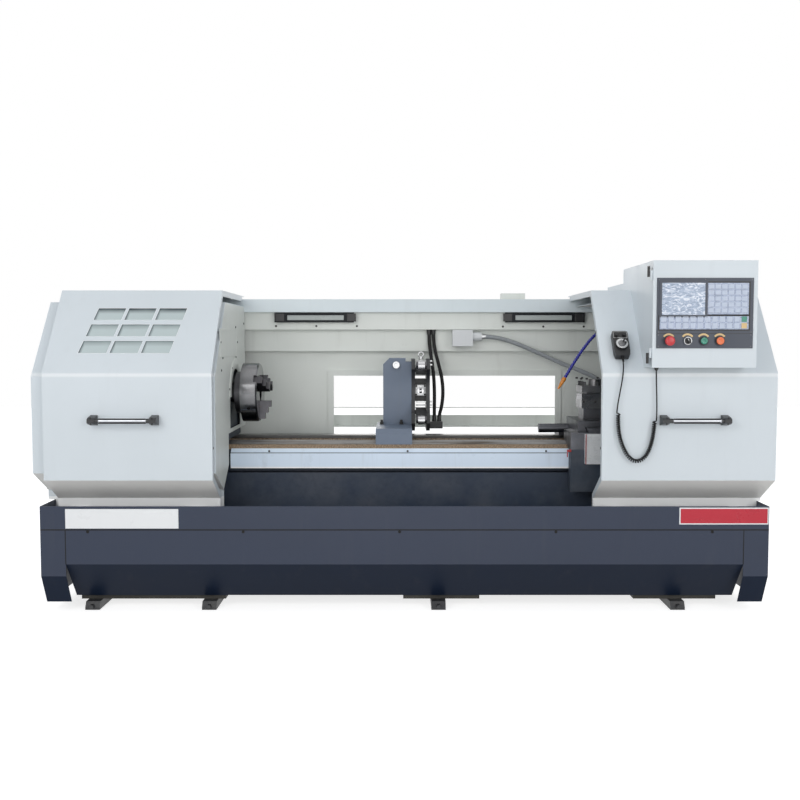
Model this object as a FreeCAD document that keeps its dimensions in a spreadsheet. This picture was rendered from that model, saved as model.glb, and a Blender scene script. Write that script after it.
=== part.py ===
import FreeCAD, Part
import math
import os

import Sketcher

# A flat-bed turning lathe for work two metres long, with two sliding front doors.
# Millimetres. +X runs along the bed from the headstock to the tailstock, the operator
# stands at -Y, +Z is up, and the origin is on the floor under the middle of the machine.

SIZES = {
    # whole machine
    "half_length": 1804, "spindle_y": -10, "spindle_z": 1065, "sheet": 4, "gap": 0.4,
    "running_gap": 0.05, 
    # base
    "base_left_x": -1772, "base_right_x": 1780, "base_front_y": -600, "base_rear_y": 620,
    "tray_floor_z": 428, "tray_rim_z": 540, "skirt_break_z": 254, "skirt_foot_z": 62,
    "skirt_foot_inset": 150, "end_panel_width": 122, "end_break_z": 195, "end_foot_z": 50,
    "end_foot_inset": 72, "rail_y": -440, "rail_width": 8, "rail_top_z": 490,
    # pedestals and feet
    "foot_height": 40, "foot_width": 72, "foot_depth": 230, "foot_out": 64, "foot_wedge": 14,
    "foot_screw": 11, "foot_screw_length": 26, "foot_lip": 16, "foot_inset": 73,
    "mid_foot_shift": -16,
    "pedestal_front_y": -436, "pedestal_rear_y": 456,
    "head_pedestal_x": -1630, "head_pedestal_length": 730,
    "mid_pedestal_x": -2, "mid_pedestal_length": 386,
    "tail_pedestal_x": 1163, "tail_pedestal_length": 417,
    "pedestal_wall": 36, "pedestal_floor": 30, "pedestal_neck": 50,
    # bed
    "bed_left_x": -1610, "bed_right_x": 1640, "bed_bottom_z": 460, "way_top_z": 820,
    "vee_height": 20, "vee_half": 23, "front_way_y": -155, "front_way_outer": 45,
    "front_way_inner": 55, "rear_way_near_y": 90, "rear_way_far_y": 180,
    "ledge_z": 650, "ledge_front_y": -190, "web_y": -140, "rear_web_y": 140,
    "rear_ledge_y": 170, "way_underside_z": 770, "rib_pitch": 410, "rib_width": 60,
    "chip_well_near_y": -92, "chip_well_far_y": 82, "chip_arch_z": 600,
    # leadscrew side
    "screw_y": -178, "screw_z": 712, "screw_radius": 20, "screw_left_x": -850,
    "journal_radius": 14, "bearing_length": 46, "bearing_half": 34,
    "cover_face_y": -234, "cover_foot_z": 678, "cover_crest_z": 753, "cover_lip_z": 779, "cover_seat": 2.7,
    "cover_left_x": -905, "cover_right_x": 1590, "servo_half": 55, "servo_length": 152,
    "servo_cap": 44,
    # headstock, spindle and drive
    "head_left_x": -1560, "head_right_x": -930, "head_front_y": -260, "head_rear_y": 240,
    "head_top_z": 1290, "head_shoulder": 90, "spindle_radius": 55, "spindle_bore": 41,
    "spindle_end_x": -1748, "nose_radius": 112, "nose_length": 36,
    "spindle_pulley_radius": 138, "pulley_x": -1738, "pulley_width": 84, "belt_margin": 7,
    "motor_pulley_radius": 82, "motor_y": 40, "motor_z": 250,
    "motor_radius": 122, "motor_left_x": -1560, "motor_length": 430, "motor_shaft": 24,
    "motor_shaft_grip": 60, "motor_foot_width": 200, "belt_thickness": 9,
    "shaft_hole": 46, "belt_slot_margin": 20,
    # chuck
    "chuck_radius": 159, "chuck_length": 89, "chuck_back_x": -866, "jaw_width": 40,
    "jaw_inner": 46, "jaw_step": 33, "jaw_low": 26, "jaw_rise": 16, "jaw_slot_depth": 18,
    "chuck_rim": 8, "key_hole": 9, "key_hole_depth": 26, "jaw_gap": 0.3,
    # fixed covers
    "cover_skirt_y": -390, "cover_knee_z": 590, "cover_front_y": -590, "cover_face_low_z": 700,
    "cover_face_high_z": 1170, "cover_roof_y": -300, "cover_roof_z": 1541,
    "bar_hole": 60, "head_cover_right_x": -913, "tail_cover_left_x": 990, 
    "nose_arch_radius": 150, "nose_opening_low_z": 880, "nose_opening_near_y": -180,
    "partition_rear_y": 320, "partition_foot_z": 860, "partition_low_z": 700,
    # shapes of feet, arches and the servo motor
    "foot_screw_out": 0.8, "arch_shoulder": 54, "servo_cap_half": 44, "servo_cap_rise": 71.5,
    # rear guard
    "beam_front_y": 300, "beam_depth": 40, "beam_low_z": 1508, "beam_top_z": 1582,
    "lamp_panel_y": 330, "lamp_panel_low_z": 1409, "band_y": 372, "band_low_z": 1284,
    "rear_wall_y": 420, "slot_left_x": -408, "slot_right_x": 895, "slot_low_z": 791,
    "slot_high_z": 1139, "slot_frame": 34, "slot_frame_depth": 10, "trough_low_z": 836,
    "trough_high_z": 900, "trough_depth": 90, "trough_shelf_z": 948, "trough_shelf_depth": 30,
    "top_box_x": 569, "top_box_length": 137, "top_box_height": 36, "top_box_depth": 70,
    "lamp_left_x": -739, "lamp_right_x": 587, "lamp_length": 456, "lamp_height": 56,
    "lamp_step": 4, "lamp_high_z": 1506, "lamp_lens_margin": 12, "lamp_end": 62,
    "box_x": 284, "box_width": 117, "gland_z": 1368, "box_low_z": 1313, "box_high_z": 1407,
    "box_depth": 78,
    "gland_radius": 25, "gland_length": 52,
    # electrical cabinet
    "cabinet_left_x": -1640, "cabinet_length": 820, "cabinet_low_z": 556,
    "cabinet_high_z": 1500, "cabinet_rear_y": 796, "cabinet_door": 4, "cabinet_door_margin": 24,
    # doors
    "door_front_y": -630, "door_skirt_y": -440, "door_skirt_z": 502, "door_knee_z": 555,
    "door_low_z": 671, "door_break_z": 1191, "door_roof_y": -320, "door_roof_z": 1600,
    "door_back_y": 352, "door_flange": 30, "left_door_x": -1737, "left_door_length": 815,
    "right_door_x": 954, "right_door_length": 840, "guide_length": 90, "guide_inset": 70,
    "guide_width": 24, "shoe_height": 30, "shoe_wall": 8,
    # door windows, measured up the sloping face from its lower fold
    "pane_first": 114, "pane_height": 80, "pane_pitch": 102.5, "pane_width": 143,
    "pane_column": 153, "pane_left_x": -1587, "pane_row_shift": 20,
    "glass_thickness": 5, "glass_margin": 18,
    # door handles
    "handle_length": 328, "left_handle_x": -1505, "right_handle_x": 1230, "handle_z": 963,
    "handle_radius": 11, "handle_stand": 46, "handle_end": 34, "handle_end_height": 50,
    # control box
    "box_left_x": 1155, "control_width": 485, "control_low_z": 1219, "control_high_z": 1716,
    "control_front_y": -760, "control_roof_back_y": -160, "duct_z": 1644, "duct_back_y": 223,
    "panel_door_depth": 16, "control_wall": 4, "face_left_x": 1172, "face_width": 448,
    "face_low_z": 1309, "face_high_z": 1635, "face_depth": 4, "bezel_depth": 3,
    "screen_left_x": 1195, "screen_right_x": 1395, "screen_low_z": 1464, "screen_high_z": 1612,
    "screen_margin": 12, "screen_recess": 3, "keypad_left_x": 1411, 
    "keypad_low_z": 1475, "key_size": 24, "key_pitch": 31, "key_rise": 2.5, "key_columns": 6,
    "key_rows": 5, "soft_key_left_x": 1192, "soft_key_pitch": 34, "soft_key_low_z": 1402,
    "soft_key_row_pitch": 30, "soft_key_columns": 12,
    "button_z": 1344,
    "stop_x": 1229, "selector_x": 1317, "start_x": 1391, "hold_x": 1466,
    "collar_radius": 21, "corner_share": 1.16, "collar_height": 7, "button_radius": 12.5, "button_height": 9,
    "hold_radius": 14, "stop_radius": 21, "stop_neck": 12, "stop_reach": 29,
    "stop_head": 13, "stem_depth": 4, "bore_depth": 11,
    "selector_radius": 15, "selector_height": 8, "selector_grip": 14,
    "button_stem": 6, "hinge_radius": 6, "hinge_length": 46,
    "hinge_inset": 46, "leaf_reach": 10, "leaf_half": 4, "key_row_pitch": 27.5,
    "key_height": 19.2, "grip_half": 4, "lock_z": 1392, "lock_radius": 9,
    # hand pendant, measured up the sloping face from its lower fold
    "pendant_x": 1054, "pendant_width": 76, "pendant_foot": 74, "pendant_length": 148,
    "pendant_depth": 32, "pendant_waist": 5, "pendant_corner": 9, "dial_up": 138,
    "dial_radius": 27, "dial_height": 11, "dial_grip": 5, "knob_up": 196, "knob_radius": 9,
    "knob_height": 12, "knob_spread": 18, "clip_width": 40, "clip_length": 60,
    "clip_depth": 8, "pendant_waist_rise": 29.6, "dial_grip_out": 16.2,
    # carriage
    "saddle_left_x": 863, "saddle_length": 360, "saddle_front_y": -300, "saddle_rear_y": 212,
    "saddle_top_z": 871, "saddle_skirt_z": 784, "saddle_notch_depth": 40,
    "slide_ridge_width": 170, "ridge_height": 22, "dovetail": 12,
    "dovetail_play": 1.2,
    "apron_left_x": 864, "apron_length": 330, "apron_front_y": -300, "apron_rear_y": -238,
    "apron_low_z": 564, "apron_chamfer": 26, "nut_x": 1010, "nut_length": 110,
    "nut_half": 32, "nut_low_z": 655, "cross_width": 246,
    "cross_front_y": -250, "cross_length": 340, "cross_top_z": 926,
    "bellows_left_x": 934, "bellows_width": 220, "bellows_low_z": 712, "bellows_high_z": 866,
    "bellows_front_y": -334, "bellows_ribs": 11, "bellows_rib_depth": 7,
    "buffer_radius": 25, "buffer_length": 120, "buffer_y": 30, "buffer_z": 866,
    "turret_x": 1030, "turret_y": -62, "turret_half": 84, "turret_core": 52,
    "turret_seat": 72, "turret_seat_z": 985, "turret_slot_height": 34,
    "turret_top_height": 36, "turret_cap_radius": 34, "turret_cap_height": 33,
    "clamp_screw": 9, "clamp_screw_inset": 16,
    "clamp_screw_height": 22, "tool_length": 150, "tool_side": 30, "tool_tip": 26,
    
    "notch_wall": 12, "nut_play": 4, "rib_share": 0.92, "tool_inset": 4, "tool_nose": 2,
    "tool_rake": 6, "tool_width": 24, "tool_edge": 8,
    "hose_radius": 9, "nozzle_length": 34, "terminal_x": 1160, "terminal_length": 60,
    "terminal_height": 80, "terminal_depth": 46,
    # tailstock
    "tail_left_x": 1372, "tail_length": 228, "tail_base_height": 46, "tail_base_front_y": -206,
    "tail_base_rear_y": 186, "barrel_radius": 78, "quill_radius": 42, "quill_out": 62,
    "quill_length": 250, "centre_length": 64, "centre_radius": 24, "neck_half": 62,
    "wheel_radius": 112, "wheel_rim": 18, "wheel_width": 16, "wheel_x": 1634,
    "wheel_hub": 26, "wheel_shaft": 14, "wheel_knob_radius": 11, "wheel_knob_length": 62,
    "lever_length": 128, "lever_x": 68, "lever_radius": 9, "neck_inset": 20,
    "shaft_play": 4, "hub_length": 12, "spoke_inset": 3, "spoke_width": 18,
    # steady rest
    "steady_x": 46, "steady_width": 103, "steady_plate": 20, "steady_top": 178,
    "steady_low": 224, "steady_back_y": 330, "steady_horn_y": 76, "throat_radius": 149,
    "pivot_y": 110, "pivot_up": 118, "pivot_radius": 13, "arm_reach": 190, "arm_rise": 28,
    "arm_width": 52, "arm_thickness": 56, "roller_radius": 25, "roller_width": 36,
    "roller_pin": 8, "plunger_pin": 5, "fork_gap": 0.4, "plunger_y": 144, "plunger_radius": 17,
    "plunger_length": 130, "plunger_nose": 12, "small_roller": 14, "small_roller_width": 14,
    "cylinder_near_y": 204, "cylinder_half": 62,
    "upright_left_x": -112, "upright_width": 125, "upright_near_y": 130,
    "upright_depth": 96, "upright_top_z": 1247, "upright_chamfer": 34, "upright_base": 60,
    "bracket_left_x": -146, "bracket_near_y": -206, "bracket_far_y": 232,
    "manifold_width": 78, "manifold_depth": 66, "manifold_height": 40, "flange_plate": 33,
    "big_bolt": 19, "big_bolt_head": 12, "big_bolt_inset": 52.5, "big_bolt_drop": 38,
    "bracket_chamfer": 30, "bracket_slope": 20, "flange_far_y": 270, "flange_top_z": 1227,
    "plate_shoulder": 40, "plate_slope": 50, "plate_toe": 60, "guide_half": 32,
    "guide_depth": 8, "bore_lead": 10, "bore_floor": 6, "arm_heel": 20.8, "arm_nose": 19.5,
    "arm_point": 18.2, "fork_play": 6,
    # hoses, conduit and cord
    "hose_sides": 8, "conduit_radius": 13, "hose_collar": 13, "nozzle_tip": 5,
    "steady_hose": 10, "cord_y": -650, "cord_curls": 18, "cord_coil": 6.75,
    "cord_wire": 3.25,
}

UP = FreeCAD.Vector(0, 0, 1)
AXES = {"X": FreeCAD.Vector(1, 0, 0), "Y": FreeCAD.Vector(0, 1, 0), "Z": UP}

doc = FreeCAD.newDocument("Lathe")
sheet = doc.addObject("Spreadsheet::Sheet", "Sizes")
for row, (name, number) in enumerate(SIZES.items(), start=1):
    sheet.set("A%d" % row, name.replace("_", " "))
    sheet.set("B%d" % row, "%g" % number)
    sheet.setAlias("B%d" % row, name)
doc.recompute()


class Size:
    """A size as the document follows it: an expression on the sheet, and its value now."""

    def __init__(self, text, value):
        self.text = text
        self.value = value

    def joined(self, sign, other, value):
        return Size("(%s %s %s)" % (self.text, sign, other.text), value)

    def __add__(self, other):
        other = size(other)
        return self.joined("+", other, self.value + other.value)

    def __sub__(self, other):
        other = size(other)
        return self.joined("-", other, self.value - other.value)

    def __mul__(self, other):
        other = size(other)
        return self.joined("*", other, self.value * other.value)

    def __truediv__(self, other):
        other = size(other)
        return self.joined("/", other, self.value / other.value)

    def __radd__(self, other):
        return size(other) + self

    def __rsub__(self, other):
        return size(other) - self

    def __rmul__(self, other):
        return size(other) * self

    def __neg__(self):
        return size(0) - self

    def root(self):
        return Size("sqrt(%s)" % self.text, math.sqrt(self.value))


def size(thing):
    if isinstance(thing, Size):
        return thing
    return Size("(%.9g)" % thing, float(thing))


class Sheet:
    """The sheet's sizes by name, as d.half_length."""

    def __getattr__(self, name):
        return Size("Sizes." + name, float(SIZES[name]))


d = Sheet()
pieces = []
count = {}


def new_name(stem):
    count[stem] = count.get(stem, 0) + 1
    return "%s_%d" % (stem, count[stem])


def bind(thing, path, amount):
    thing.setExpression(path, size(amount).text)


def placed(thing, x=0, y=0, z=0):
    bind(thing, "Placement.Base.x", x)
    bind(thing, "Placement.Base.y", y)
    bind(thing, "Placement.Base.z", z)
    return thing


def block(x0, x1, y0, y1, z0, z1):
    box = doc.addObject("Part::Box", new_name("block"))
    bind(box, "Length", size(x1) - x0)
    bind(box, "Width", size(y1) - y0)
    bind(box, "Height", size(z1) - z0)
    return placed(box, x0, y0, z0)


TURN = {"X": FreeCAD.Rotation(AXES["Y"], 90), "Y": FreeCAD.Rotation(AXES["X"], -90),
        "Z": FreeCAD.Rotation()}


def rod(axis, radius, length, x, y, z):
    """A round bar of that radius and length along an axis, from its lower end."""
    bar = doc.addObject("Part::Cylinder", new_name("rod"))
    bind(bar, "Radius", radius)
    bind(bar, "Height", length)
    bar.Placement = FreeCAD.Placement(FreeCAD.Vector(), TURN[axis])
    return placed(bar, x, y, z)


PLANES = {"YZ": "YZ_Plane", "XZ": "XZ_Plane", "XY": "XY_Plane"}


def outline(body, plane, points):
    """A closed sketch of straight lines through points, each tied to the sheet."""
    sketch = body.newObject("Sketcher::SketchObject", new_name("outline"))
    origin = [f for f in body.Origin.OriginFeatures if f.Role == PLANES[plane]][0]
    sketch.AttachmentSupport = [(origin, "")]
    sketch.MapMode = "FlatFace"
    corners = [(size(a), size(b)) for a, b in points]
    spots = [FreeCAD.Vector(a.value, b.value, 0) for a, b in corners]
    total = len(spots)
    lines = [Part.LineSegment(spots[i], spots[(i + 1) % total]) for i in range(total)]
    sketch.addGeometry(lines, False)
    limits = []
    for i in range(total):
        limits.append(Sketcher.Constraint("Coincident", i, 2, (i + 1) % total, 1))
    for i in range(total):
        limits.append(Sketcher.Constraint("DistanceX", -1, 1, i, 1, spots[i].x))
        limits.append(Sketcher.Constraint("DistanceY", -1, 1, i, 1, spots[i].y))
    sketch.addConstraint(limits)
    for i, (a, b) in enumerate(corners):
        sketch.setExpression("Constraints[%d]" % (total + 2 * i), a.text)
        sketch.setExpression("Constraints[%d]" % (total + 2 * i + 1), b.text)
    return sketch


def profile(plane, points, start, length, rounds=()):
    """A flat outline pushed along the axis across its plane, from start; rounds are
    (corner number, radius) for the edges that the push leaves."""
    body = doc.addObject("PartDesign::Body", new_name("profile"))
    sketch = outline(body, plane, points)
    along = size(start) if plane != "XZ" else -(size(start) + length)
    bind(sketch, "AttachmentOffset.Base.z", along)
    pad = body.newObject("PartDesign::Pad", new_name("pad"))
    pad.Profile = sketch
    bind(pad, "Length", length)
    corners = {}
    for number, radius in rounds:
        corners.setdefault(size(radius).text, (size(radius), []))[1].append(number)
    tip = pad
    for radius, numbers in corners.values():
        doc.recompute()
        edges = []
        for number in numbers:
            a = size(points[number][0]).value
            b = size(points[number][1]).value
            edges.append(edge_at(tip.Shape, plane, a, b))
        fillet = body.newObject("PartDesign::Fillet", new_name("round"))
        fillet.Base = (tip, edges)
        bind(fillet, "Radius", radius)
        tip = fillet
    return body


def edge_at(shape, plane, a, b):
    """The name of the edge that runs across the plane through the point a, b."""
    first, second = [AXES[letter] for letter in plane]
    for number, edge in enumerate(shape.Edges, start=1):
        ends = [vertex.Point for vertex in edge.Vertexes]
        near = all(abs(p.dot(first) - a) + abs(p.dot(second) - b) < 0.001 for p in ends)
        if len(ends) == 2 and near:
            return "Edge%d" % number
    raise ValueError("no edge at %g, %g" % (a, b))


def turned(axis, points, x=0, y=0, z=0):
    """A turned piece: points are (place along the axis, radius) from x, y, z."""
    body = doc.addObject("PartDesign::Body", new_name("turned"))
    if axis == "Z":
        sketch = outline(body, "XZ", [(radius, along) for along, radius in points])
        offset = (x, z, -size(y))
    elif axis == "X":
        sketch = outline(body, "XZ", points)
        offset = (x, z, -size(y))
    else:
        sketch = outline(body, "YZ", points)
        offset = (y, z, x)
    for letter, amount in zip("xyz", offset):
        bind(sketch, "AttachmentOffset.Base." + letter, amount)
    turn = body.newObject("PartDesign::Revolution", new_name("turn"))
    turn.Profile = sketch
    turn.ReferenceAxis = (sketch, ["V_Axis" if axis == "Z" else "H_Axis"])
    turn.Angle = 360
    return body


def chain_inside(points, thickness, closed=False):
    """The points of a chain moved to its right by a thickness, corner by corner."""
    corners = [(size(a), size(b)) for a, b in points]
    normals = []
    for (a, b), (c, e) in zip(corners, corners[1:] + corners[:1] * closed):
        run = ((c - a) * (c - a) + (e - b) * (e - b)).root()
        normals.append(((e - b) / run, (a - c) / run))
    moved = []
    for i, (a, b) in enumerate(corners):
        before = normals[i - 1 if closed else max(0, i - 1)]
        after = normals[i if closed else min(i, len(normals) - 1)]
        share = thickness / (1 + before[0] * after[0] + before[1] * after[1])
        moved.append((a + share * (before[0] + after[0]), b + share * (before[1] + after[1])))
    return moved


def folded(points, thickness):
    """The closed outline of a folded sheet whose outer face follows points."""
    return list(points) + chain_inside(points, thickness)[::-1]


def group(items):
    """Separate solids that belong to one sub-part."""
    heap = doc.addObject("Part::Compound", new_name("group"))
    heap.Links = items
    return heap


def fused(*items):
    joined = doc.addObject("Part::MultiFuse", new_name("fused"))
    joined.Shapes = list(items)
    joined.Refine = True
    return joined


def cut(base, *tools):
    tool = tools[0] if len(tools) == 1 else fused(*tools)
    rest = doc.addObject("Part::Cut", new_name("cut"))
    rest.Base = base
    rest.Tool = tool
    return rest


def tilted(item, y, z, angle_rise, angle_run):
    """The item turned up about +X by the slope's angle, and put at y, z."""
    item.Placement = FreeCAD.Placement(FreeCAD.Vector(), FreeCAD.Rotation(AXES["X"], 30))
    item.setExpression("Placement.Rotation.Angle",
                       "atan(%s / %s)" % (size(angle_rise).text, size(angle_run).text))
    return placed(item, 0, y, z)


def keep(label, item):
    """The item is a sub-part of its own under that label."""
    item.Label = label
    pieces.append((label, item))


def hexagon(across, a, b):
    """The six corners of a hexagon of that half width about a, b."""
    corners = []
    for step in range(6):
        angle = math.radians(60 * step)
        corners.append((a + across * round(math.cos(angle), 6),
                        b + across * round(math.sin(angle), 6)))
    return corners


def wire_tube(points, radius, sides=0):
    """A tube along straight runs joined by tangent arcs, each as large as its runs allow."""
    places = [FreeCAD.Vector(*point) for point in points]
    runs = [(b - a).Length for a, b in zip(places, places[1:])]
    edges = []
    radii = []
    start = places[0]
    for i in range(1, len(places) - 1):
        back = (places[i - 1] - places[i]).normalize()
        ahead = (places[i + 1] - places[i]).normalize()
        half_turn = (math.pi - back.getAngle(ahead)) / 2
        reach = 0.45 * min(runs[i - 1], runs[i])
        radii.append(reach / math.tan(half_turn))
        first = places[i] + back * reach
        last = places[i] + ahead * reach
        middle = (back + ahead).normalize()
        centre = places[i] + middle * (radii[-1] / math.cos(half_turn))
        edges.append(Part.LineSegment(start, first).toShape())
        edges.append(Part.Arc(first, centre - middle * radii[-1], last).toShape())
        start = last
    edges.append(Part.LineSegment(start, places[-1]).toShape())
    path = Part.Wire(edges)
    if sides:
        ring = Part.makePolygon(ring_points(places[0], places[1] - places[0], radius, sides))
    else:
        ring = Part.Wire(Part.makeCircle(radius, places[0], places[1] - places[0]))
    tube = path.makePipeShell([ring], True, False)
    return tube, path, radii


def ring_points(centre, direction, radius, sides):
    """A closed flat polygon of that many sides about a centre, square to a direction."""
    normal = FreeCAD.Vector(direction).normalize()
    aside = normal.cross(AXES["Y"] if abs(normal.y) < 0.9 else AXES["X"]).normalize()
    other = normal.cross(aside)
    corners = []
    for step in range(sides + 1):
        angle = 2 * math.pi * (step % sides) / sides
        corners.append(centre + aside * (radius * math.cos(angle))
                       + other * (radius * math.sin(angle)))
    return corners


def shaped(label, shape):
    item = doc.addObject("Part::Feature", label)
    item.Shape = shape
    return item


# Base: levelling feet, three pedestals, the tray and the panels below it

def foot(x, front_y, inward):
    """A wedge under a pedestal's edge, with its screw; inward is 1 in front, -1 behind."""
    outer = front_y - inward * d.foot_out
    wedge = profile("YZ", [
        (outer, 0), (outer + inward * d.foot_depth, 0),
        (outer + inward * d.foot_depth, d.foot_height),
        (outer + inward * d.foot_lip, d.foot_height), (outer, d.foot_wedge)],
        x - d.foot_width / 2, d.foot_width)
    screw = profile("XZ", hexagon(d.foot_screw, x, d.foot_height / 2),
                    outer - d.foot_screw_length * (d.foot_screw_out if inward > 0 else 1 - d.foot_screw_out),
                    d.foot_screw_length)
    return fused(wedge, screw)


foot_places = [
    d.head_pedestal_x + d.foot_inset,
    d.head_pedestal_x + d.head_pedestal_length - d.foot_inset,
    d.mid_pedestal_x + d.mid_pedestal_length / 2 + d.mid_foot_shift,
    d.tail_pedestal_x + d.tail_pedestal_length / 2,
]
feet = []
for place in foot_places:
    feet.append(foot(place, d.pedestal_front_y, 1))
    feet.append(foot(place, d.pedestal_rear_y, -1))
keep("levelling_feet", group(feet))

tray_underside_z = d.tray_floor_z - d.sheet


def neck(x, length):
    """The part of a pedestal that goes up through the tray to the bed."""
    return block(x + d.pedestal_neck, x + length - d.pedestal_neck, d.ledge_front_y,
                 d.rear_ledge_y, tray_underside_z, d.bed_bottom_z)


def pedestal(x, length, *openings):
    body = block(x, x + length, d.pedestal_front_y, d.pedestal_rear_y, d.foot_height,
                 tray_underside_z)
    return cut(fused(body, neck(x, length)), *openings)


def archway(x, length):
    """The opening through a small pedestal, from front to back."""
    left = x + d.pedestal_wall
    right = x + length - d.pedestal_wall
    low = d.foot_height + d.pedestal_floor
    high = tray_underside_z - d.pedestal_wall
    shoulder = d.arch_shoulder
    return profile("XZ", [
        (left, low), (right, low), (right, high - shoulder), (right - shoulder, high),
        (left + shoulder, high), (left, high - shoulder)],
        d.pedestal_front_y - 1, d.pedestal_rear_y - d.pedestal_front_y + 2)


motor_room = block(
    d.head_pedestal_x + d.pedestal_wall,
    d.head_pedestal_x + d.head_pedestal_length - d.pedestal_wall,
    d.pedestal_front_y + d.pedestal_wall, d.pedestal_rear_y + 1,
    d.foot_height + d.pedestal_floor, tray_underside_z - d.pedestal_wall)
shaft_hole = rod("X", d.shaft_hole, d.pedestal_wall + 2, d.head_pedestal_x - 1, d.motor_y,
                 d.motor_z)
pedestals = [
    pedestal(d.head_pedestal_x, d.head_pedestal_length, motor_room, shaft_hole),
    pedestal(d.mid_pedestal_x, d.mid_pedestal_length,
             archway(d.mid_pedestal_x, d.mid_pedestal_length)),
    pedestal(d.tail_pedestal_x, d.tail_pedestal_length,
             archway(d.tail_pedestal_x, d.tail_pedestal_length)),
]
keep("pedestals", group(pedestals))

tray_shell = cut(
    block(d.base_left_x, d.base_right_x, d.base_front_y, d.base_rear_y, tray_underside_z,
          d.tray_rim_z),
    block(d.base_left_x + d.sheet, d.base_right_x - d.sheet, d.base_front_y + d.sheet,
          d.base_rear_y - d.sheet, d.tray_floor_z, d.tray_rim_z + 1))
tray_rail = block(d.base_left_x + d.sheet, d.base_right_x - d.sheet,
                  d.rail_y - d.rail_width / 2, d.rail_y + d.rail_width / 2,
                  d.tray_floor_z, d.rail_top_z)
belt_reach = d.spindle_pulley_radius + d.belt_slot_margin
belt_slot = block(
    d.pulley_x - d.belt_margin, d.pulley_x + d.pulley_width + d.belt_margin,
    d.motor_y - belt_reach, d.motor_y + belt_reach, tray_underside_z - 1,
    d.tray_floor_z + 1)
keep("base_tray", cut(
    fused(tray_shell, tray_rail),
    neck(d.head_pedestal_x, d.head_pedestal_length),
    neck(d.mid_pedestal_x, d.mid_pedestal_length),
    neck(d.tail_pedestal_x, d.tail_pedestal_length), belt_slot))

skirt_left_x = d.base_left_x + d.end_panel_width
skirt_length = d.base_right_x - d.end_panel_width - skirt_left_x
front_skirt = profile("YZ", folded([
    (d.base_front_y + d.skirt_foot_inset, d.skirt_foot_z),
    (d.base_front_y, d.skirt_break_z), (d.base_front_y, tray_underside_z)], d.sheet),
    skirt_left_x, skirt_length)
rear_skirt = profile("YZ", folded([
    (d.base_rear_y, tray_underside_z), (d.base_rear_y, d.skirt_break_z),
    (d.base_rear_y - d.skirt_foot_inset, d.skirt_foot_z)], d.sheet),
    skirt_left_x, skirt_length)
keep("base_skirts", group([front_skirt, rear_skirt]))


def end_panel(x, plate_x):
    """The bent panel over one end of the base, from x, with its end face at plate_x."""
    front = [(d.base_front_y + d.end_foot_inset, d.end_foot_z),
             (d.base_front_y, d.end_break_z), (d.base_front_y, tray_underside_z)]
    rear = [(d.base_rear_y, tray_underside_z), (d.base_rear_y, d.end_break_z),
            (d.base_rear_y - d.end_foot_inset, d.end_foot_z)]
    return fused(
        profile("YZ", folded(front, d.sheet), x, d.end_panel_width),
        profile("YZ", folded(rear, d.sheet), x, d.end_panel_width),
        profile("YZ", front + rear, plate_x, d.sheet))


keep("end_panels", group([
    end_panel(d.base_left_x, d.base_left_x),
    end_panel(d.base_right_x - d.end_panel_width, d.base_right_x - d.sheet)]))


# Bed: two ways on webs, with wells between cross ribs for the chips

vee_foot_z = d.way_top_z - d.vee_height
front_way_near = d.front_way_y - d.front_way_outer
front_way_far = d.front_way_y + d.front_way_inner


def on_the_ways(near_y, far_y, gap):
    """The underside of a piece that sits on both ways, from front to back."""
    foot_z = vee_foot_z + gap
    seat_z = d.way_top_z + gap
    return [
        (near_y, foot_z), (d.front_way_y - d.vee_half, foot_z), (d.front_way_y, seat_z),
        (d.front_way_y + d.vee_half, foot_z), (front_way_far, foot_z),
        (front_way_far, seat_z), (far_y, seat_z)]


bed_length = d.bed_right_x - d.bed_left_x
bed_solid = profile("YZ", [
    (d.ledge_front_y, d.bed_bottom_z), (d.ledge_front_y, d.ledge_z), (d.web_y, d.ledge_z),
    (d.web_y, d.way_underside_z), (front_way_near, d.way_underside_z),
    (front_way_near, vee_foot_z), (d.front_way_y - d.vee_half, vee_foot_z),
    (d.front_way_y, d.way_top_z), (d.front_way_y + d.vee_half, vee_foot_z),
    (front_way_far, vee_foot_z), (front_way_far, d.way_underside_z),
    (d.rear_way_near_y, d.way_underside_z), (d.rear_way_near_y, d.way_top_z),
    (d.rear_way_far_y, d.way_top_z), (d.rear_way_far_y, d.way_underside_z),
    (d.rear_web_y, d.way_underside_z), (d.rear_web_y, d.ledge_z),
    (d.rear_ledge_y, d.ledge_z), (d.rear_ledge_y, d.bed_bottom_z)],
    d.bed_left_x, bed_length)
wells = []
well_count = int(bed_length.value // SIZES["rib_pitch"])
for number in range(well_count):
    left = d.bed_left_x + d.rib_width + number * d.rib_pitch
    wells.append(block(left, left + d.rib_pitch - d.rib_width, d.chip_well_near_y,
                       d.chip_well_far_y, d.chip_arch_z, d.way_underside_z + 1))

keep("screw_cover", profile("YZ", folded([
    (d.cover_face_y, d.cover_foot_z), (d.cover_face_y, d.cover_crest_z),
    (front_way_near - d.cover_seat, d.cover_lip_z)], d.sheet), d.cover_left_x,
    d.cover_right_x - d.cover_left_x))


# Leadscrew, its bearings and its servo motor

def screw_bearing(x):
    housing = block(x, x + d.bearing_length, d.screw_y - d.bearing_half, d.web_y,
                    d.screw_z - d.bearing_half, d.screw_z + d.bearing_half)
    bore = rod("X", d.journal_radius + d.running_gap, d.bearing_length + 2, x - 1,
               d.screw_y, d.screw_z)
    return cut(housing, bore)


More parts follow.
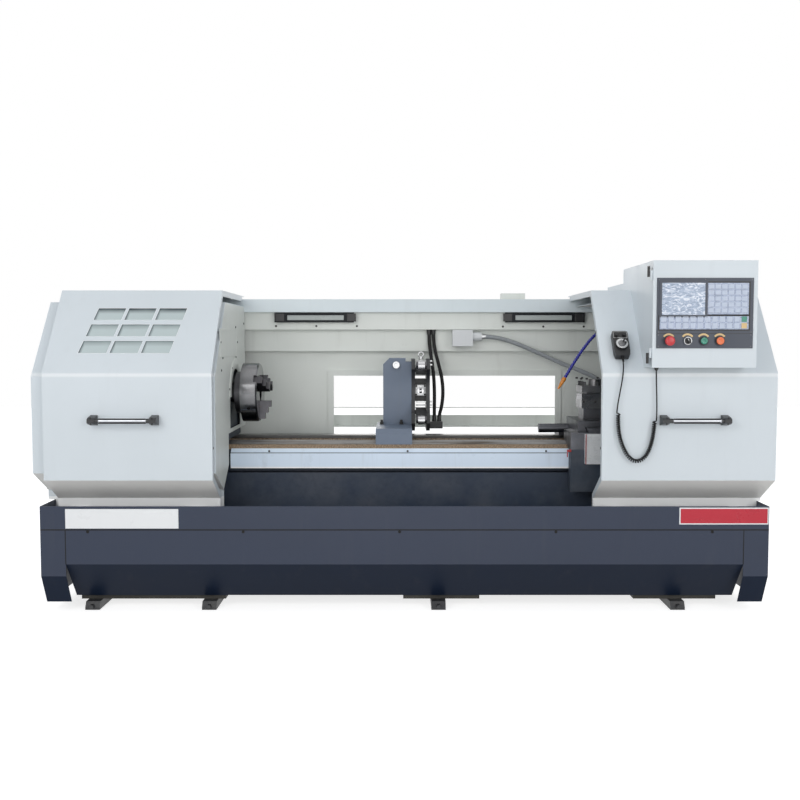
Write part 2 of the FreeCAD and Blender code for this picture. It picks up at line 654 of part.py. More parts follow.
screw_far_x = d.bed_right_x - d.bearing_length
keep("bed", fused(cut(bed_solid, *wells), screw_bearing(d.screw_left_x),
                  screw_bearing(screw_far_x)))
screw_near_x = d.screw_left_x + d.bearing_length
keep("z_screw", turned("X", [
    (d.screw_left_x, 0), (d.screw_left_x, d.journal_radius),
    (screw_near_x + d.gap, d.journal_radius), (screw_near_x + d.gap, d.screw_radius),
    (screw_far_x - d.gap, d.screw_radius), (screw_far_x - d.gap, d.journal_radius),
    (d.bed_right_x - d.gap, d.journal_radius), (d.bed_right_x - d.gap, 0)],
    0, d.screw_y, d.screw_z))
servo_flange = block(
    d.bed_right_x, d.bed_right_x + d.servo_length - d.servo_cap,
    d.screw_y - d.servo_half, d.screw_y + d.servo_half, d.screw_z - d.servo_half,
    d.screw_z + d.servo_half)
servo_cap = block(
    d.bed_right_x + d.servo_length - d.servo_cap, d.bed_right_x + d.servo_length,
    d.screw_y - d.servo_cap_half, d.screw_y + d.servo_cap_half,
    d.screw_z - d.servo_cap_half, d.screw_z + d.servo_cap_rise)
keep("z_servo_motor", fused(servo_flange, servo_cap))


# Headstock, spindle and drive

head_section = on_the_ways(d.head_front_y, d.head_rear_y, 0) + [
    (d.head_rear_y, d.head_top_z), (d.head_front_y + d.head_shoulder, d.head_top_z),
    (d.head_front_y, d.head_top_z - d.head_shoulder)]
head_length = d.head_right_x - d.head_left_x
headstock = cut(
    profile("YZ", head_section, d.head_left_x, head_length),
    rod("X", d.spindle_radius + d.running_gap, head_length + 2, d.head_left_x - 1,
        d.spindle_y, d.spindle_z))
keep("headstock", headstock)

nose_x = d.chuck_back_x - d.nose_length
keep("spindle", turned("X", [
    (d.spindle_end_x, d.spindle_bore), (d.spindle_end_x, d.spindle_radius),
    (nose_x, d.spindle_radius), (nose_x, d.nose_radius), (d.chuck_back_x, d.nose_radius),
    (d.chuck_back_x, d.spindle_bore)], 0, d.spindle_y, d.spindle_z))


pulley_right_x = d.pulley_x + d.pulley_width
keep("spindle_pulley", turned("X", [
    (d.pulley_x, d.spindle_radius), (d.pulley_x, d.spindle_pulley_radius),
    (pulley_right_x, d.spindle_pulley_radius), (pulley_right_x, d.spindle_radius)],
    0, d.spindle_y, d.spindle_z))
shaft_end_x = d.motor_left_x + d.motor_shaft_grip
keep("motor_pulley", turned("X", [
    (d.pulley_x, 0), (d.pulley_x, d.motor_pulley_radius),
    (pulley_right_x, d.motor_pulley_radius), (pulley_right_x, d.motor_shaft),
    (shaft_end_x - d.gap, d.motor_shaft), (shaft_end_x - d.gap, 0)],
    0, d.motor_y, d.motor_z))
motor_floor_z = d.foot_height + d.pedestal_floor
motor_foot = block(
    d.motor_left_x + d.motor_shaft, d.motor_left_x + d.motor_length - d.motor_shaft,
    d.motor_y - d.motor_foot_width / 2, d.motor_y + d.motor_foot_width / 2,
    motor_floor_z, d.motor_z - d.motor_radius / 2)
motor_solid = fused(
    rod("X", d.motor_radius, d.motor_length, d.motor_left_x, d.motor_y, d.motor_z),
    motor_foot)
keep("main_motor", cut(motor_solid, rod(
    "X", d.motor_shaft + d.running_gap, d.motor_shaft_grip + 1, d.motor_left_x - 1,
    d.motor_y, d.motor_z)))


def belt_face(x, rise):
    """The face inside a loop round both pulleys, at x, that far outside their rims."""
    low = FreeCAD.Vector(x, SIZES["motor_y"], SIZES["motor_z"])
    high = FreeCAD.Vector(x, SIZES["spindle_y"], SIZES["spindle_z"])
    low_radius = SIZES["motor_pulley_radius"] + rise
    high_radius = SIZES["spindle_pulley_radius"] + rise
    ahead = (high - low).normalize()
    aside = AXES["X"].cross(ahead)
    lean = (low_radius - high_radius) / (high - low).Length
    reach = math.sqrt(1 - lean * lean)
    near = ahead * lean + aside * reach
    far = ahead * lean - aside * reach
    edges = [
        Part.LineSegment(low + near * low_radius, high + near * high_radius).toShape(),
        Part.Arc(high + near * high_radius, high + ahead * high_radius,
                 high + far * high_radius).toShape(),
        Part.LineSegment(high + far * high_radius, low + far * low_radius).toShape(),
        Part.Arc(low + far * low_radius, low - ahead * low_radius,
                 low + near * low_radius).toShape()]
    return Part.Face(Part.Wire(edges))


belt_x = SIZES["pulley_x"] + SIZES["belt_margin"]
belt_width = SIZES["pulley_width"] - 2 * SIZES["belt_margin"]
loop = belt_face(belt_x, SIZES["gap"] + SIZES["belt_thickness"])
loop = loop.cut(belt_face(belt_x, SIZES["gap"]))
keep("drive_belt", shaped("drive_belt", loop.extrude(FreeCAD.Vector(belt_width, 0, 0))))


# Chuck: body with three slots, and a stepped jaw in each

jaw_angles = (-60, 60, 180)
chuck_face_x = d.chuck_back_x + d.chuck_length


def round_the_spindle(item, angle):
    """The item, drawn about the world origin, turned about +X and put on the spindle."""
    item.Placement = FreeCAD.Placement(FreeCAD.Vector(),
                                       FreeCAD.Rotation(AXES["X"], angle))
    return placed(item, 0, d.spindle_y, d.spindle_z)


chuck_round = turned("X", [
    (d.chuck_back_x, d.spindle_bore), (d.chuck_back_x, d.chuck_radius),
    (chuck_face_x - d.chuck_rim, d.chuck_radius),
    (chuck_face_x, d.chuck_radius - d.chuck_rim), (chuck_face_x, d.spindle_bore)],
    0, d.spindle_y, d.spindle_z)
slots = []
for angle in jaw_angles:
    half_slot = d.jaw_width / 2 + d.jaw_gap
    slots.append(round_the_spindle(profile("XZ", [
        (chuck_face_x - d.jaw_slot_depth, 0), (chuck_face_x + 1, 0),
        (chuck_face_x + 1, d.chuck_radius + 1),
        (chuck_face_x - d.jaw_slot_depth, d.chuck_radius + 1)],
        -half_slot, 2 * half_slot), angle))
    key_hole = rod("Z", d.key_hole, d.key_hole_depth + 1, 0, 0, 0)
    key_turn = FreeCAD.Rotation(AXES["X"], angle + 60)
    key_hole.Placement = FreeCAD.Placement(FreeCAD.Vector(), key_turn)
    outward = key_turn.multVec(UP)
    reach = d.chuck_radius - d.key_hole_depth
    slots.append(placed(key_hole, d.chuck_back_x + d.chuck_length / 2,
                        d.spindle_y + reach * outward.y, d.spindle_z + reach * outward.z))
keep("chuck_body", cut(chuck_round, *slots))

for number, angle in enumerate(jaw_angles, start=1):
    base_x = chuck_face_x - d.jaw_slot_depth + d.jaw_gap
    rise = [chuck_face_x + d.jaw_low + step * d.jaw_rise for step in range(3)]
    edge = [d.jaw_inner + step * d.jaw_step for step in range(4)]
    jaw = profile("XZ", [
        (base_x, edge[0]), (rise[2], edge[0]), (rise[2], edge[1]), (rise[1], edge[1]),
        (rise[1], edge[2]), (rise[0], edge[2]), (rise[0], edge[3]), (base_x, edge[3])],
        -d.jaw_width / 2, d.jaw_width)
    keep("chuck_jaw_%d" % number, round_the_spindle(jaw, angle))


# Fixed covers over the headstock and the tailstock, and the wall beside the chuck

cover_chain = [
    (d.cover_skirt_y, d.tray_floor_z), (d.cover_skirt_y, d.cover_knee_z),
    (d.cover_front_y, d.cover_face_low_z), (d.cover_front_y, d.cover_face_high_z),
    (d.cover_roof_y, d.cover_roof_z), (d.beam_front_y, d.cover_roof_z)]
end_outline = cover_chain[:-1] + [
    (d.rear_wall_y, d.cover_roof_z), (d.rear_wall_y, d.tray_floor_z)]
head_cover_x = -d.half_length


def over_the_rim(x0, x1):
    """The cutter that lets a sheet between two places pass over the tray's end wall."""
    return block(x0, x1, d.base_front_y, d.base_rear_y, tray_underside_z - 1,
                 d.tray_rim_z + d.gap)


left_rim = over_the_rim(head_cover_x - 1, d.base_left_x + d.sheet + d.gap)
right_rim = over_the_rim(d.base_right_x - d.sheet - d.gap, d.half_length + 1)
bar_way = rod("X", d.bar_hole, d.sheet + 2, head_cover_x - 1, d.spindle_y, d.spindle_z)
keep("headstock_cover", cut(fused(
    profile("YZ", folded(cover_chain, d.sheet), head_cover_x,
            d.head_cover_right_x - head_cover_x),
    profile("YZ", end_outline, head_cover_x, d.sheet)), left_rim, bar_way))
keep("tailstock_cover", cut(fused(
    profile("YZ", folded(cover_chain, d.sheet), d.tail_cover_left_x,
            d.half_length - d.tail_cover_left_x),
    profile("YZ", end_outline, d.half_length - d.sheet, d.sheet)), right_rim))

inner_chain = chain_inside(cover_chain, d.sheet)
wall_outline = [
    inner_chain[1], inner_chain[2], inner_chain[3], inner_chain[4],
    (d.beam_front_y, d.cover_roof_z - d.sheet), (d.beam_front_y, d.beam_low_z),
    (d.partition_rear_y, d.beam_low_z), (d.partition_rear_y, d.partition_foot_z),
    (d.cover_face_y, d.partition_foot_z), (d.cover_face_y, d.partition_low_z)]
wall = profile("YZ", wall_outline, d.head_cover_right_x - d.sheet, d.sheet)
nose_arch = rod("X", d.nose_arch_radius, 2 * d.sheet, d.head_cover_right_x - d.sheet * 3 / 2,
                d.spindle_y, d.spindle_z)
nose_opening = block(
    d.head_cover_right_x - 2 * d.sheet, d.head_cover_right_x + d.sheet,
    d.nose_opening_near_y, d.spindle_y + d.nose_arch_radius, d.nose_opening_low_z,
    d.spindle_z)
keep("chuck_partition", cut(wall, nose_arch, nose_opening))


# Rear guard: the door beam, the stepped panels below it, and the wall with its slot

inside_left_x = head_cover_x + d.sheet
inside_length = 2 * (d.half_length - d.sheet)
beam_back_y = d.beam_front_y + d.beam_depth
keep("door_beam", block(inside_left_x, inside_left_x + inside_length, d.beam_front_y,
                        beam_back_y, d.beam_low_z, d.beam_top_z))
front_sheet = profile("YZ", folded([
    (d.rear_wall_y, d.band_low_z), (d.band_y, d.band_low_z),
    (d.band_y, d.lamp_panel_low_z), (d.lamp_panel_y, d.lamp_panel_low_z),
    (d.lamp_panel_y, d.beam_low_z)], d.sheet), inside_left_x, inside_length)
outer_y = d.rear_wall_y + d.sheet
wall_sheet = block(-d.half_length, d.half_length, d.rear_wall_y, outer_y, d.tray_floor_z,
                   d.beam_top_z)
roof_sheet = block(inside_left_x, inside_left_x + inside_length, beam_back_y, outer_y,
                   d.beam_top_z - d.sheet, d.beam_top_z)
slot = block(d.slot_left_x, d.slot_right_x, d.rear_wall_y - d.slot_frame_depth - 1,
             outer_y + 1, d.slot_low_z, d.slot_high_z)
slot_frame = block(
    d.slot_left_x - d.slot_frame, d.slot_right_x + d.slot_frame,
    d.rear_wall_y - d.slot_frame_depth, d.rear_wall_y, d.slot_low_z - d.slot_frame,
    d.slot_high_z + d.slot_frame)
top_box = block(d.top_box_x, d.top_box_x + d.top_box_length, d.door_back_y + 2,
                d.door_back_y + 2 + d.top_box_depth, d.beam_top_z,
                d.beam_top_z + d.top_box_height)
trough_left = d.slot_left_x - d.slot_frame
trough_right = d.slot_right_x + d.slot_frame
trough = profile("YZ", folded([
    (outer_y + d.trough_depth, d.trough_high_z), (outer_y + d.trough_depth, d.trough_low_z),
    (outer_y, d.trough_low_z)], d.sheet), trough_left, trough_right - trough_left)
cable_shelf = block(trough_left, trough_right, outer_y, outer_y + d.trough_shelf_depth,
                    d.trough_shelf_z, d.trough_shelf_z + d.sheet)
shelf_arms = [block(x, x + d.sheet, outer_y, outer_y + d.trough_shelf_depth,
                    d.trough_low_z, d.trough_shelf_z + d.sheet)
              for x in (trough_left, trough_right - d.sheet)]
keep("rear_guard", fused(
    cut(fused(front_sheet, wall_sheet, roof_sheet, slot_frame, top_box), slot,
        left_rim, right_rim),
    trough, cable_shelf, *shelf_arms))


def lamp(x):
    """A work lamp under the beam: a shallow case with a recessed window."""
    far = x + d.lamp_length
    case = block(x, far, d.beam_front_y + d.lamp_step, d.lamp_panel_y,
                 d.lamp_high_z - d.lamp_height, d.lamp_high_z)
    ends = [block(left, left + d.lamp_end, d.beam_front_y, d.lamp_panel_y,
                  d.lamp_high_z - d.lamp_height, d.lamp_high_z)
            for left in (x, far - d.lamp_end)]
    window = block(
        x + d.lamp_end + d.lamp_lens_margin, far - d.lamp_end - d.lamp_lens_margin,
        d.beam_front_y, d.beam_front_y + 2 * d.lamp_step,
        d.lamp_high_z - d.lamp_height + d.lamp_lens_margin,
        d.lamp_high_z - d.lamp_lens_margin)
    return cut(fused(case, *ends), window)


keep("work_lamps", group([lamp(d.lamp_left_x), lamp(d.lamp_right_x)]))
box_right_x = d.box_x + d.box_width
junction = block(d.box_x, box_right_x, d.band_y - d.box_depth, d.band_y, d.box_low_z,
                 d.box_high_z)
gland_y = d.band_y - d.box_depth / 2
keep("junction_box", fused(
    junction, rod("X", d.gland_radius, d.gland_length, box_right_x, gland_y, d.gland_z)))


# Electrical cabinet behind the headstock, with its door shut

cabinet_right_x = d.cabinet_left_x + d.cabinet_length
cabinet_case = block(d.cabinet_left_x, cabinet_right_x, outer_y, d.cabinet_rear_y,
                     d.cabinet_low_z, d.cabinet_high_z)
cabinet_door = block(
    d.cabinet_left_x + d.cabinet_door_margin, cabinet_right_x - d.cabinet_door_margin,
    d.cabinet_rear_y, d.cabinet_rear_y + d.cabinet_door,
    d.cabinet_low_z + d.cabinet_door_margin, d.cabinet_high_z - d.cabinet_door_margin)
keep("electrical_cabinet", fused(cabinet_case, cabinet_door))


# Sliding doors

door_chain = [
    (d.door_skirt_y, d.door_skirt_z), (d.door_skirt_y, d.door_knee_z),
    (d.door_front_y, d.door_low_z), (d.door_front_y, d.door_break_z),
    (d.door_roof_y, d.door_roof_z), (d.door_back_y, d.door_roof_z)]
flange_chain = door_chain[:-1] + [(d.beam_front_y - d.shoe_wall, d.door_roof_z)]
slope_rise = d.door_roof_z - d.door_break_z
slope_run = d.door_roof_y - d.door_front_y


def on_the_slope(item):
    """The item, drawn flat with +Y up the door's slope, turned onto that slope."""
    return tilted(item, d.door_front_y, d.door_break_z, slope_rise, slope_run)


def door_shell(x, length):
    """A folded door with flanges at its ends, guides on the beam and shoes on the rail."""
    solids = [
        profile("YZ", folded(door_chain, d.sheet), x, length),
        profile("YZ", folded(flange_chain, d.door_flange), x, d.sheet),
        profile("YZ", folded(flange_chain, d.door_flange), x + length - d.sheet, d.sheet)]
    beam_middle_y = d.beam_front_y + d.beam_depth / 2
    shoe_half = d.rail_width / 2 + d.gap + d.shoe_wall
    for start in (x + d.guide_inset, x + length - d.guide_inset - d.guide_length):
        solids.append(block(start, start + d.guide_length,
                            beam_middle_y - d.guide_width / 2,
                            beam_middle_y + d.guide_width / 2, d.beam_top_z + d.gap,
                            d.door_roof_z - d.sheet / 2))
        shoe = block(start, start + d.guide_length, d.rail_y - shoe_half,
                     d.rail_y + shoe_half, d.door_skirt_z + d.shoe_wall - d.shoe_height,
                     d.door_skirt_z + d.shoe_wall)
        groove = block(start - 1, start + d.guide_length + 1,
                       d.rail_y - d.rail_width / 2 - d.gap,
                       d.rail_y + d.rail_width / 2 + d.gap,
                       d.door_skirt_z - d.shoe_height, d.rail_top_z + d.gap)
        solids.append(cut(shoe, groove))
    return fused(*solids)


def pane_hole(row, column):
    """The cutter for one leaning window of the left door, drawn flat."""
    left = d.pane_left_x + row * d.pane_row_shift + column * d.pane_column
    low = d.pane_first + row * d.pane_pitch
    lean = d.pane_row_shift * d.pane_height / d.pane_pitch
    return profile("XY", [
        (left, low), (left + d.pane_width, low),
        (left + d.pane_width + lean, low + d.pane_height),
        (left + lean, low + d.pane_height)], -2 * d.sheet, 4 * d.sheet)


panes = [on_the_slope(pane_hole(row, column)) for row in range(3) for column in range(3)]
keep("left_door", cut(door_shell(d.left_door_x, d.left_door_length), *panes))
keep("right_door", cut(door_shell(d.right_door_x, d.right_door_length), right_rim))
glass_left = d.pane_left_x - d.glass_margin
glass_right = (d.pane_left_x + 3 * d.pane_row_shift + 2 * d.pane_column + d.pane_width
               + d.glass_margin)
glass_low = d.pane_first - d.glass_margin
glass_high = d.pane_first + 2 * d.pane_pitch + d.pane_height + d.glass_margin
keep("left_door_glass", on_the_slope(profile("XY", [
    (glass_left, glass_low), (glass_right, glass_low), (glass_right, glass_high),
    (glass_left, glass_high)], -(d.sheet + d.glass_thickness), d.glass_thickness)))


def door_handle(x):
    """A round bar between two end brackets that stand on the door's front."""
    bar_y = d.door_front_y - d.handle_stand
    far = x + d.handle_length
    solids = [rod("X", d.handle_radius, d.handle_length - d.handle_end,
                  x + d.handle_end / 2, bar_y, d.handle_z)]
    nose = d.handle_radius + 5
    for left in (x, far - d.handle_end):
        solids.append(profile("YZ", [
            (d.door_front_y, d.handle_z - d.handle_end_height / 2),
            (bar_y, d.handle_z - nose), (bar_y - nose, d.handle_z - nose / 2),
            (bar_y - nose, d.handle_z + nose / 2), (bar_y, d.handle_z + nose),
            (d.door_front_y, d.handle_z + d.handle_end_height / 2)], left, d.handle_end))
    return fused(*solids)


keep("left_door_handle", door_handle(d.left_handle_x))
keep("right_door_handle", door_handle(d.right_handle_x))


# Control box on the right door

box_right = d.box_left_x + d.control_width
panel_back_y = d.control_front_y + d.panel_door_depth
foot_y = d.door_front_y + (d.control_low_z - d.door_break_z) * slope_run / slope_rise
box_outline = [
    (panel_back_y, d.control_low_z), (panel_back_y, d.control_high_z),
    (d.control_roof_back_y, d.control_high_z), (d.control_roof_back_y, d.duct_z),
    (d.duct_back_y, d.duct_z), (d.duct_back_y, d.door_roof_z),
    (d.door_roof_y, d.door_roof_z), (foot_y, d.control_low_z)]
cavity = chain_inside(box_outline, d.control_wall, closed=True)
cavity[0] = (panel_back_y - 1, cavity[0][1])
cavity[1] = (panel_back_y - 1, cavity[1][1])
hinge_x = d.box_left_x - d.hinge_radius - 1
hinge_y = panel_back_y - d.hinge_radius - 2
hinge_zs = [d.control_low_z + d.hinge_inset,
            d.control_high_z - d.hinge_inset - d.hinge_length]


def knuckle(z, far_x, near_y, far_y):
    """Half a hinge: its barrel, and the leaf that joins it to the piece it carries."""
    half = (d.hinge_length - d.gap) / 2
    barrel = rod("Z", d.hinge_radius, half, hinge_x, hinge_y, z)
    leaf = block(hinge_x, far_x, near_y, far_y, z, z + half)
    return fused(barrel, leaf)


box_knuckles = [knuckle(z, d.box_left_x + 1, hinge_y, panel_back_y + d.leaf_reach)
                for z in hinge_zs]
control_box = cut(
    profile("YZ", box_outline, d.box_left_x, d.control_width),
    profile("YZ", cavity, d.box_left_x + d.control_wall,
            d.control_width - 2 * d.control_wall))
trims = [block(d.box_left_x - 1, d.box_left_x + d.control_wall, hinge_y - d.leaf_reach,
               panel_back_y, z - 1, z + d.hinge_length + 1) for z in hinge_zs]
keep("control_box", fused(control_box, *[cut(k, t) for k, t in zip(box_knuckles, trims)]))

buttons = {
    "stop": (d.stop_x, d.stop_neck), "selector": (d.selector_x, d.button_stem),
    "start": (d.start_x, d.button_radius), "hold": (d.hold_x, d.hold_radius)}
face_y = d.control_front_y - d.face_depth
bores = []
door_holes = []
for x, radius in buttons.values():
    bores.append(profile("XZ", hexagon((radius + d.gap) * d.corner_share, x, d.button_z),
                         face_y - d.collar_height - 1, d.face_depth + d.collar_height + 2))
    door_holes.append(profile("XZ", hexagon(d.collar_radius, x, d.button_z),
                              d.control_front_y - 1, d.bore_depth + 1))
half_hinge = (d.hinge_length + d.gap) / 2
door_knuckles = [knuckle(z + half_hinge, d.box_left_x + 1, hinge_y - d.leaf_half,
                         hinge_y + d.leaf_half) for z in hinge_zs]
panel_slab = block(d.box_left_x, box_right, d.control_front_y, panel_back_y - d.gap,
                   d.control_low_z, d.control_high_z)
panel_lock = rod("Y", d.lock_radius, d.sheet + 1, box_right - d.lock_radius - 1,
                 d.control_front_y - d.sheet, d.lock_z)
keep("control_panel_door", cut(fused(panel_slab, panel_lock, *door_knuckles), *door_holes))

face_right = d.face_left_x + d.face_width
solids = [block(d.face_left_x, face_right, face_y, d.control_front_y, d.face_low_z,
                d.face_high_z)]
for x, radius in buttons.values():
    solids.append(profile("XZ", hexagon(d.collar_radius, x, d.button_z),
                          face_y - d.collar_height, d.collar_height + 1))
for row in range(int(SIZES["key_rows"])):
    for column in range(int(SIZES["key_columns"])):
        left = d.keypad_left_x + column * d.key_pitch
        low = d.keypad_low_z + row * d.key_row_pitch
        solids.append(block(left, left + d.key_size, face_y - d.key_rise, face_y + 1, low,
                            low + d.key_height))
for row in range(2):
    for column in range(int(SIZES["soft_key_columns"])):
        left = d.soft_key_left_x + column * d.soft_key_pitch
        low = d.soft_key_low_z + row * d.soft_key_row_pitch
        solids.append(block(left, left + d.key_size, face_y - d.key_rise, face_y + 1, low,
                            low + d.key_size))
bezel = block(d.screen_left_x - d.screen_margin, d.screen_right_x + d.screen_margin,
              face_y - d.bezel_depth, face_y + 1, d.screen_low_z - d.screen_margin,
              d.screen_high_z + d.screen_margin)
screen_recess = block(d.screen_left_x, d.screen_right_x, face_y - d.bezel_depth - 1,
                      face_y - d.bezel_depth + d.screen_recess, d.screen_low_z,
                      d.screen_high_z)
keep("control_panel", cut(fused(*solids, bezel), screen_recess, *bores))

collar_y = face_y - d.collar_height
stem_end_y = d.control_front_y + d.stem_depth
stop_front_y = collar_y - d.stop_reach
keep("emergency_stop", turned("Y", [
    (stop_front_y, 0), (stop_front_y, d.stop_radius),
    (stop_front_y + d.stop_head, d.stop_radius), (stop_front_y + d.stop_head, d.stop_neck),
    (stem_end_y, d.stop_neck), (stem_end_y, 0)], d.stop_x, 0, d.button_z))
keep("start_button", rod("Y", d.button_radius, stem_end_y - collar_y + d.button_height,
                         d.start_x, collar_y - d.button_height, d.button_z))
keep("hold_button", rod("Y", d.hold_radius, stem_end_y - collar_y + d.button_height,
                        d.hold_x, collar_y - d.button_height, d.button_z))
grip_y = collar_y - d.gap - d.selector_height - d.selector_grip
selector_disc = rod("Y", d.selector_radius, d.selector_height, d.selector_x,
                    collar_y - d.gap - d.selector_height, d.button_z)
selector_grip = block(d.selector_x - d.grip_half, d.selector_x + d.grip_half, grip_y,
                      collar_y - d.gap - d.selector_height + 1,
                      d.button_z - d.selector_radius + 1, d.button_z + d.selector_radius - 1)
selector_stem = rod("Y", d.button_stem, stem_end_y - collar_y + 1, d.selector_x,
                    collar_y - 1, d.button_z)
keep("mode_selector", fused(selector_disc, selector_grip, selector_stem))


# Hand pendant on the right door's slope, drawn flat with +Y up the slope

pendant_left = d.pendant_x - d.pendant_width / 2
pendant_right = d.pendant_x + d.pendant_width / 2
pendant_top = d.pendant_foot + d.pendant_length
waist_up = d.pendant_foot + d.pendant_waist_rise
pendant_front = d.clip_depth + d.pendant_depth
pendant_case = profile("XY", [
    (pendant_left + d.pendant_waist, d.pendant_foot),
    (pendant_right - d.pendant_waist, d.pendant_foot), (pendant_right, waist_up),
    (pendant_right, pendant_top), (pendant_left, pendant_top), (pendant_left, waist_up)],
    d.clip_depth, d.pendant_depth, [(corner, d.pendant_corner) for corner in (0, 1, 3, 4)])
clip_middle = d.pendant_foot + d.pendant_length / 2
pendant_clip = profile("XY", [
    (d.pendant_x - d.clip_width / 2, clip_middle - d.clip_length / 2),
    (d.pendant_x + d.clip_width / 2, clip_middle - d.clip_length / 2),
    (d.pendant_x + d.clip_width / 2, clip_middle + d.clip_length / 2),
    (d.pendant_x - d.clip_width / 2, clip_middle + d.clip_length / 2)], 0, d.clip_depth + 1)
pendant_knobs = [rod("Z", d.knob_radius, d.knob_height + 1,
                     d.pendant_x + side * d.knob_spread, d.knob_up, pendant_front - 1)
                 for side in (-1, 1)]
keep("pendant", on_the_slope(fused(pendant_case, pendant_clip, *pendant_knobs)))
dial_disc = rod("Z", d.dial_radius, d.dial_height, d.pendant_x, d.dial_up,
                pendant_front + d.gap)
dial_grip = rod("Z", d.dial_grip, d.dial_height, d.pendant_x + d.dial_grip_out,
                d.dial_up, pendant_front + d.gap + d.dial_height - 1)
keep("pendant_dial", on_the_slope(fused(dial_disc, dial_grip)))


# Carriage: saddle, apron, cross slide, turret and its hose

saddle_right_x = d.saddle_left_x + d.saddle_length
skirt_inner_near = front_way_near - d.gap
skirt_inner_far = d.rear_way_far_y + d.gap
saddle_section = [
    (d.saddle_front_y, d.saddle_top_z), (d.saddle_front_y, d.saddle_skirt_z),
    (skirt_inner_near, d.saddle_skirt_z),
    *on_the_ways(skirt_inner_near, skirt_inner_far, d.gap),
    (skirt_inner_far, d.saddle_skirt_z), (d.saddle_rear_y, d.saddle_skirt_z),
    (d.saddle_rear_y, d.saddle_top_z)]
ridge_left = d.turret_x - d.slide_ridge_width / 2
ridge_right = d.turret_x + d.slide_ridge_width / 2
ridge_top_z = d.saddle_top_z + d.ridge_height
ridge = profile("XZ", [
    (ridge_left + d.dovetail, d.saddle_top_z - 1), (ridge_right - d.dovetail, d.saddle_top_z - 1),
    (ridge_right, ridge_top_z), (ridge_left, ridge_top_z)], d.saddle_front_y,
    d.saddle_rear_y - d.saddle_front_y)
notch_near = front_way_far + d.notch_wall
notch_far = d.rear_way_near_y - d.notch_wall
notches = [
    block(d.saddle_left_x - 1, d.saddle_left_x + d.saddle_notch_depth, notch_near,
          notch_far, d.saddle_skirt_z, d.saddle_top_z + 1),
    block(saddle_right_x - d.saddle_notch_depth, saddle_right_x + 1, notch_near,
          notch_far, d.saddle_skirt_z, d.saddle_top_z + 1)]
terminal_x = saddle_right_x - d.terminal_length - 6
terminal_top_z = d.saddle_top_z + d.terminal_height
terminal = block(terminal_x, terminal_x + d.terminal_length,
                 d.saddle_rear_y - d.terminal_depth, d.saddle_rear_y, d.saddle_top_z - 1,
                 terminal_top_z)
buffer = rod("X", d.buffer_radius, d.buffer_length + d.saddle_notch_depth + 2,
             d.saddle_left_x - d.buffer_length, d.buffer_y, d.buffer_z)
keep("saddle", fused(
    cut(profile("YZ", saddle_section, d.saddle_left_x, d.saddle_length), *notches),
    ridge, terminal, buffer))

apron_right_x = d.apron_left_x + d.apron_length
apron_plate = profile("XZ", [
    (d.apron_left_x, d.saddle_skirt_z), (d.apron_left_x, d.apron_low_z),
    (apron_right_x - d.apron_chamfer, d.apron_low_z),
    (apron_right_x, d.apron_low_z + d.apron_chamfer), (apron_right_x, d.saddle_skirt_z)],
    d.apron_front_y, d.apron_rear_y - d.apron_front_y)
nut_near = d.screw_y - d.nut_half
nut_far = d.screw_y + d.nut_half
nut_right = d.nut_x + d.nut_length
bracket_foot = block(d.nut_x, nut_right, d.apron_rear_y - 1, nut_far, d.nut_low_z,
                     d.cover_foot_z - d.nut_play)
nut_block = block(d.nut_x, nut_right, nut_near, nut_far, d.nut_low_z,
                  d.screw_z + d.nut_half)
screw_bore = rod("X", d.screw_radius + d.running_gap, d.nut_length + 2, d.nut_x - 1,
                 d.screw_y, d.screw_z)
keep("apron", cut(fused(apron_plate, bracket_foot, nut_block), screw_bore))

rib_pitch = (d.bellows_high_z - d.bellows_low_z) / d.bellows_ribs
bellows_outline = [(d.saddle_front_y, d.bellows_high_z), (d.saddle_front_y, d.bellows_low_z)]
for rib in range(int(SIZES["bellows_ribs"])):
    low = d.bellows_low_z + rib * rib_pitch
    bellows_outline.append((d.bellows_front_y, low))
    bellows_outline.append((d.bellows_front_y + d.bellows_rib_depth, low + rib_pitch * d.rib_share))
keep("cross_slide_cover", profile("YZ", bellows_outline, d.bellows_left_x,
                                  d.bellows_width))

cross_left = d.turret_x - d.cross_width / 2
cross_right = d.turret_x + d.cross_width / 2
cross_foot_z = d.saddle_top_z + d.gap
slot_left = ridge_left - d.dovetail_play
slot_right = ridge_right + d.dovetail_play
cross_roof_z = ridge_top_z + d.gap
slide_plate = profile("XZ", [
    (cross_left, cross_foot_z), (slot_left + d.dovetail, cross_foot_z),
    (slot_left, cross_roof_z), (slot_right, cross_roof_z),
    (slot_right - d.dovetail, cross_foot_z), (cross_right, cross_foot_z),
    (cross_right, d.cross_top_z), (cross_left, d.cross_top_z)],
    d.cross_front_y, d.cross_length)


def turret_plate(half, low, high):
    return block(d.turret_x - half, d.turret_x + half, d.turret_y - half,
                 d.turret_y + half, low, high)


keep("cross_slide", fused(slide_plate, turret_plate(d.turret_seat, d.cross_top_z - 1,
                                                    d.turret_seat_z)))
turret_low = d.turret_seat_z + d.gap
slot_low = d.spindle_z - d.tool_side
slot_high = slot_low + d.turret_slot_height
turret_top = slot_high + d.turret_top_height
turret_parts = [
    turret_plate(d.turret_half, turret_low, slot_low),
    turret_plate(d.turret_core, slot_low - 1, slot_high + 1),
    turret_plate(d.turret_half, slot_high, turret_top),
    rod("Z", d.turret_cap_radius, d.turret_cap_height, d.turret_x, d.turret_y, turret_top)]
screw_spread = d.turret_half - d.clamp_screw_inset
for side_x, side_y in ((-1, -1), (0, -1), (1, -1), (-1, 1), (0, 1), (1, 1), (-1, 0), (1, 0)):
    place_x = d.turret_x + side_x * screw_spread
    place_y = d.turret_y + side_y * screw_spread
    screw = profile("XY", hexagon(d.clamp_screw, place_x, place_y), turret_top,
                    d.clamp_screw_height)
    turret_parts.append(screw)
tool_front = d.turret_y - d.turret_half + d.tool_inset
tool_left = d.turret_x - d.turret_half - d.tool_tip
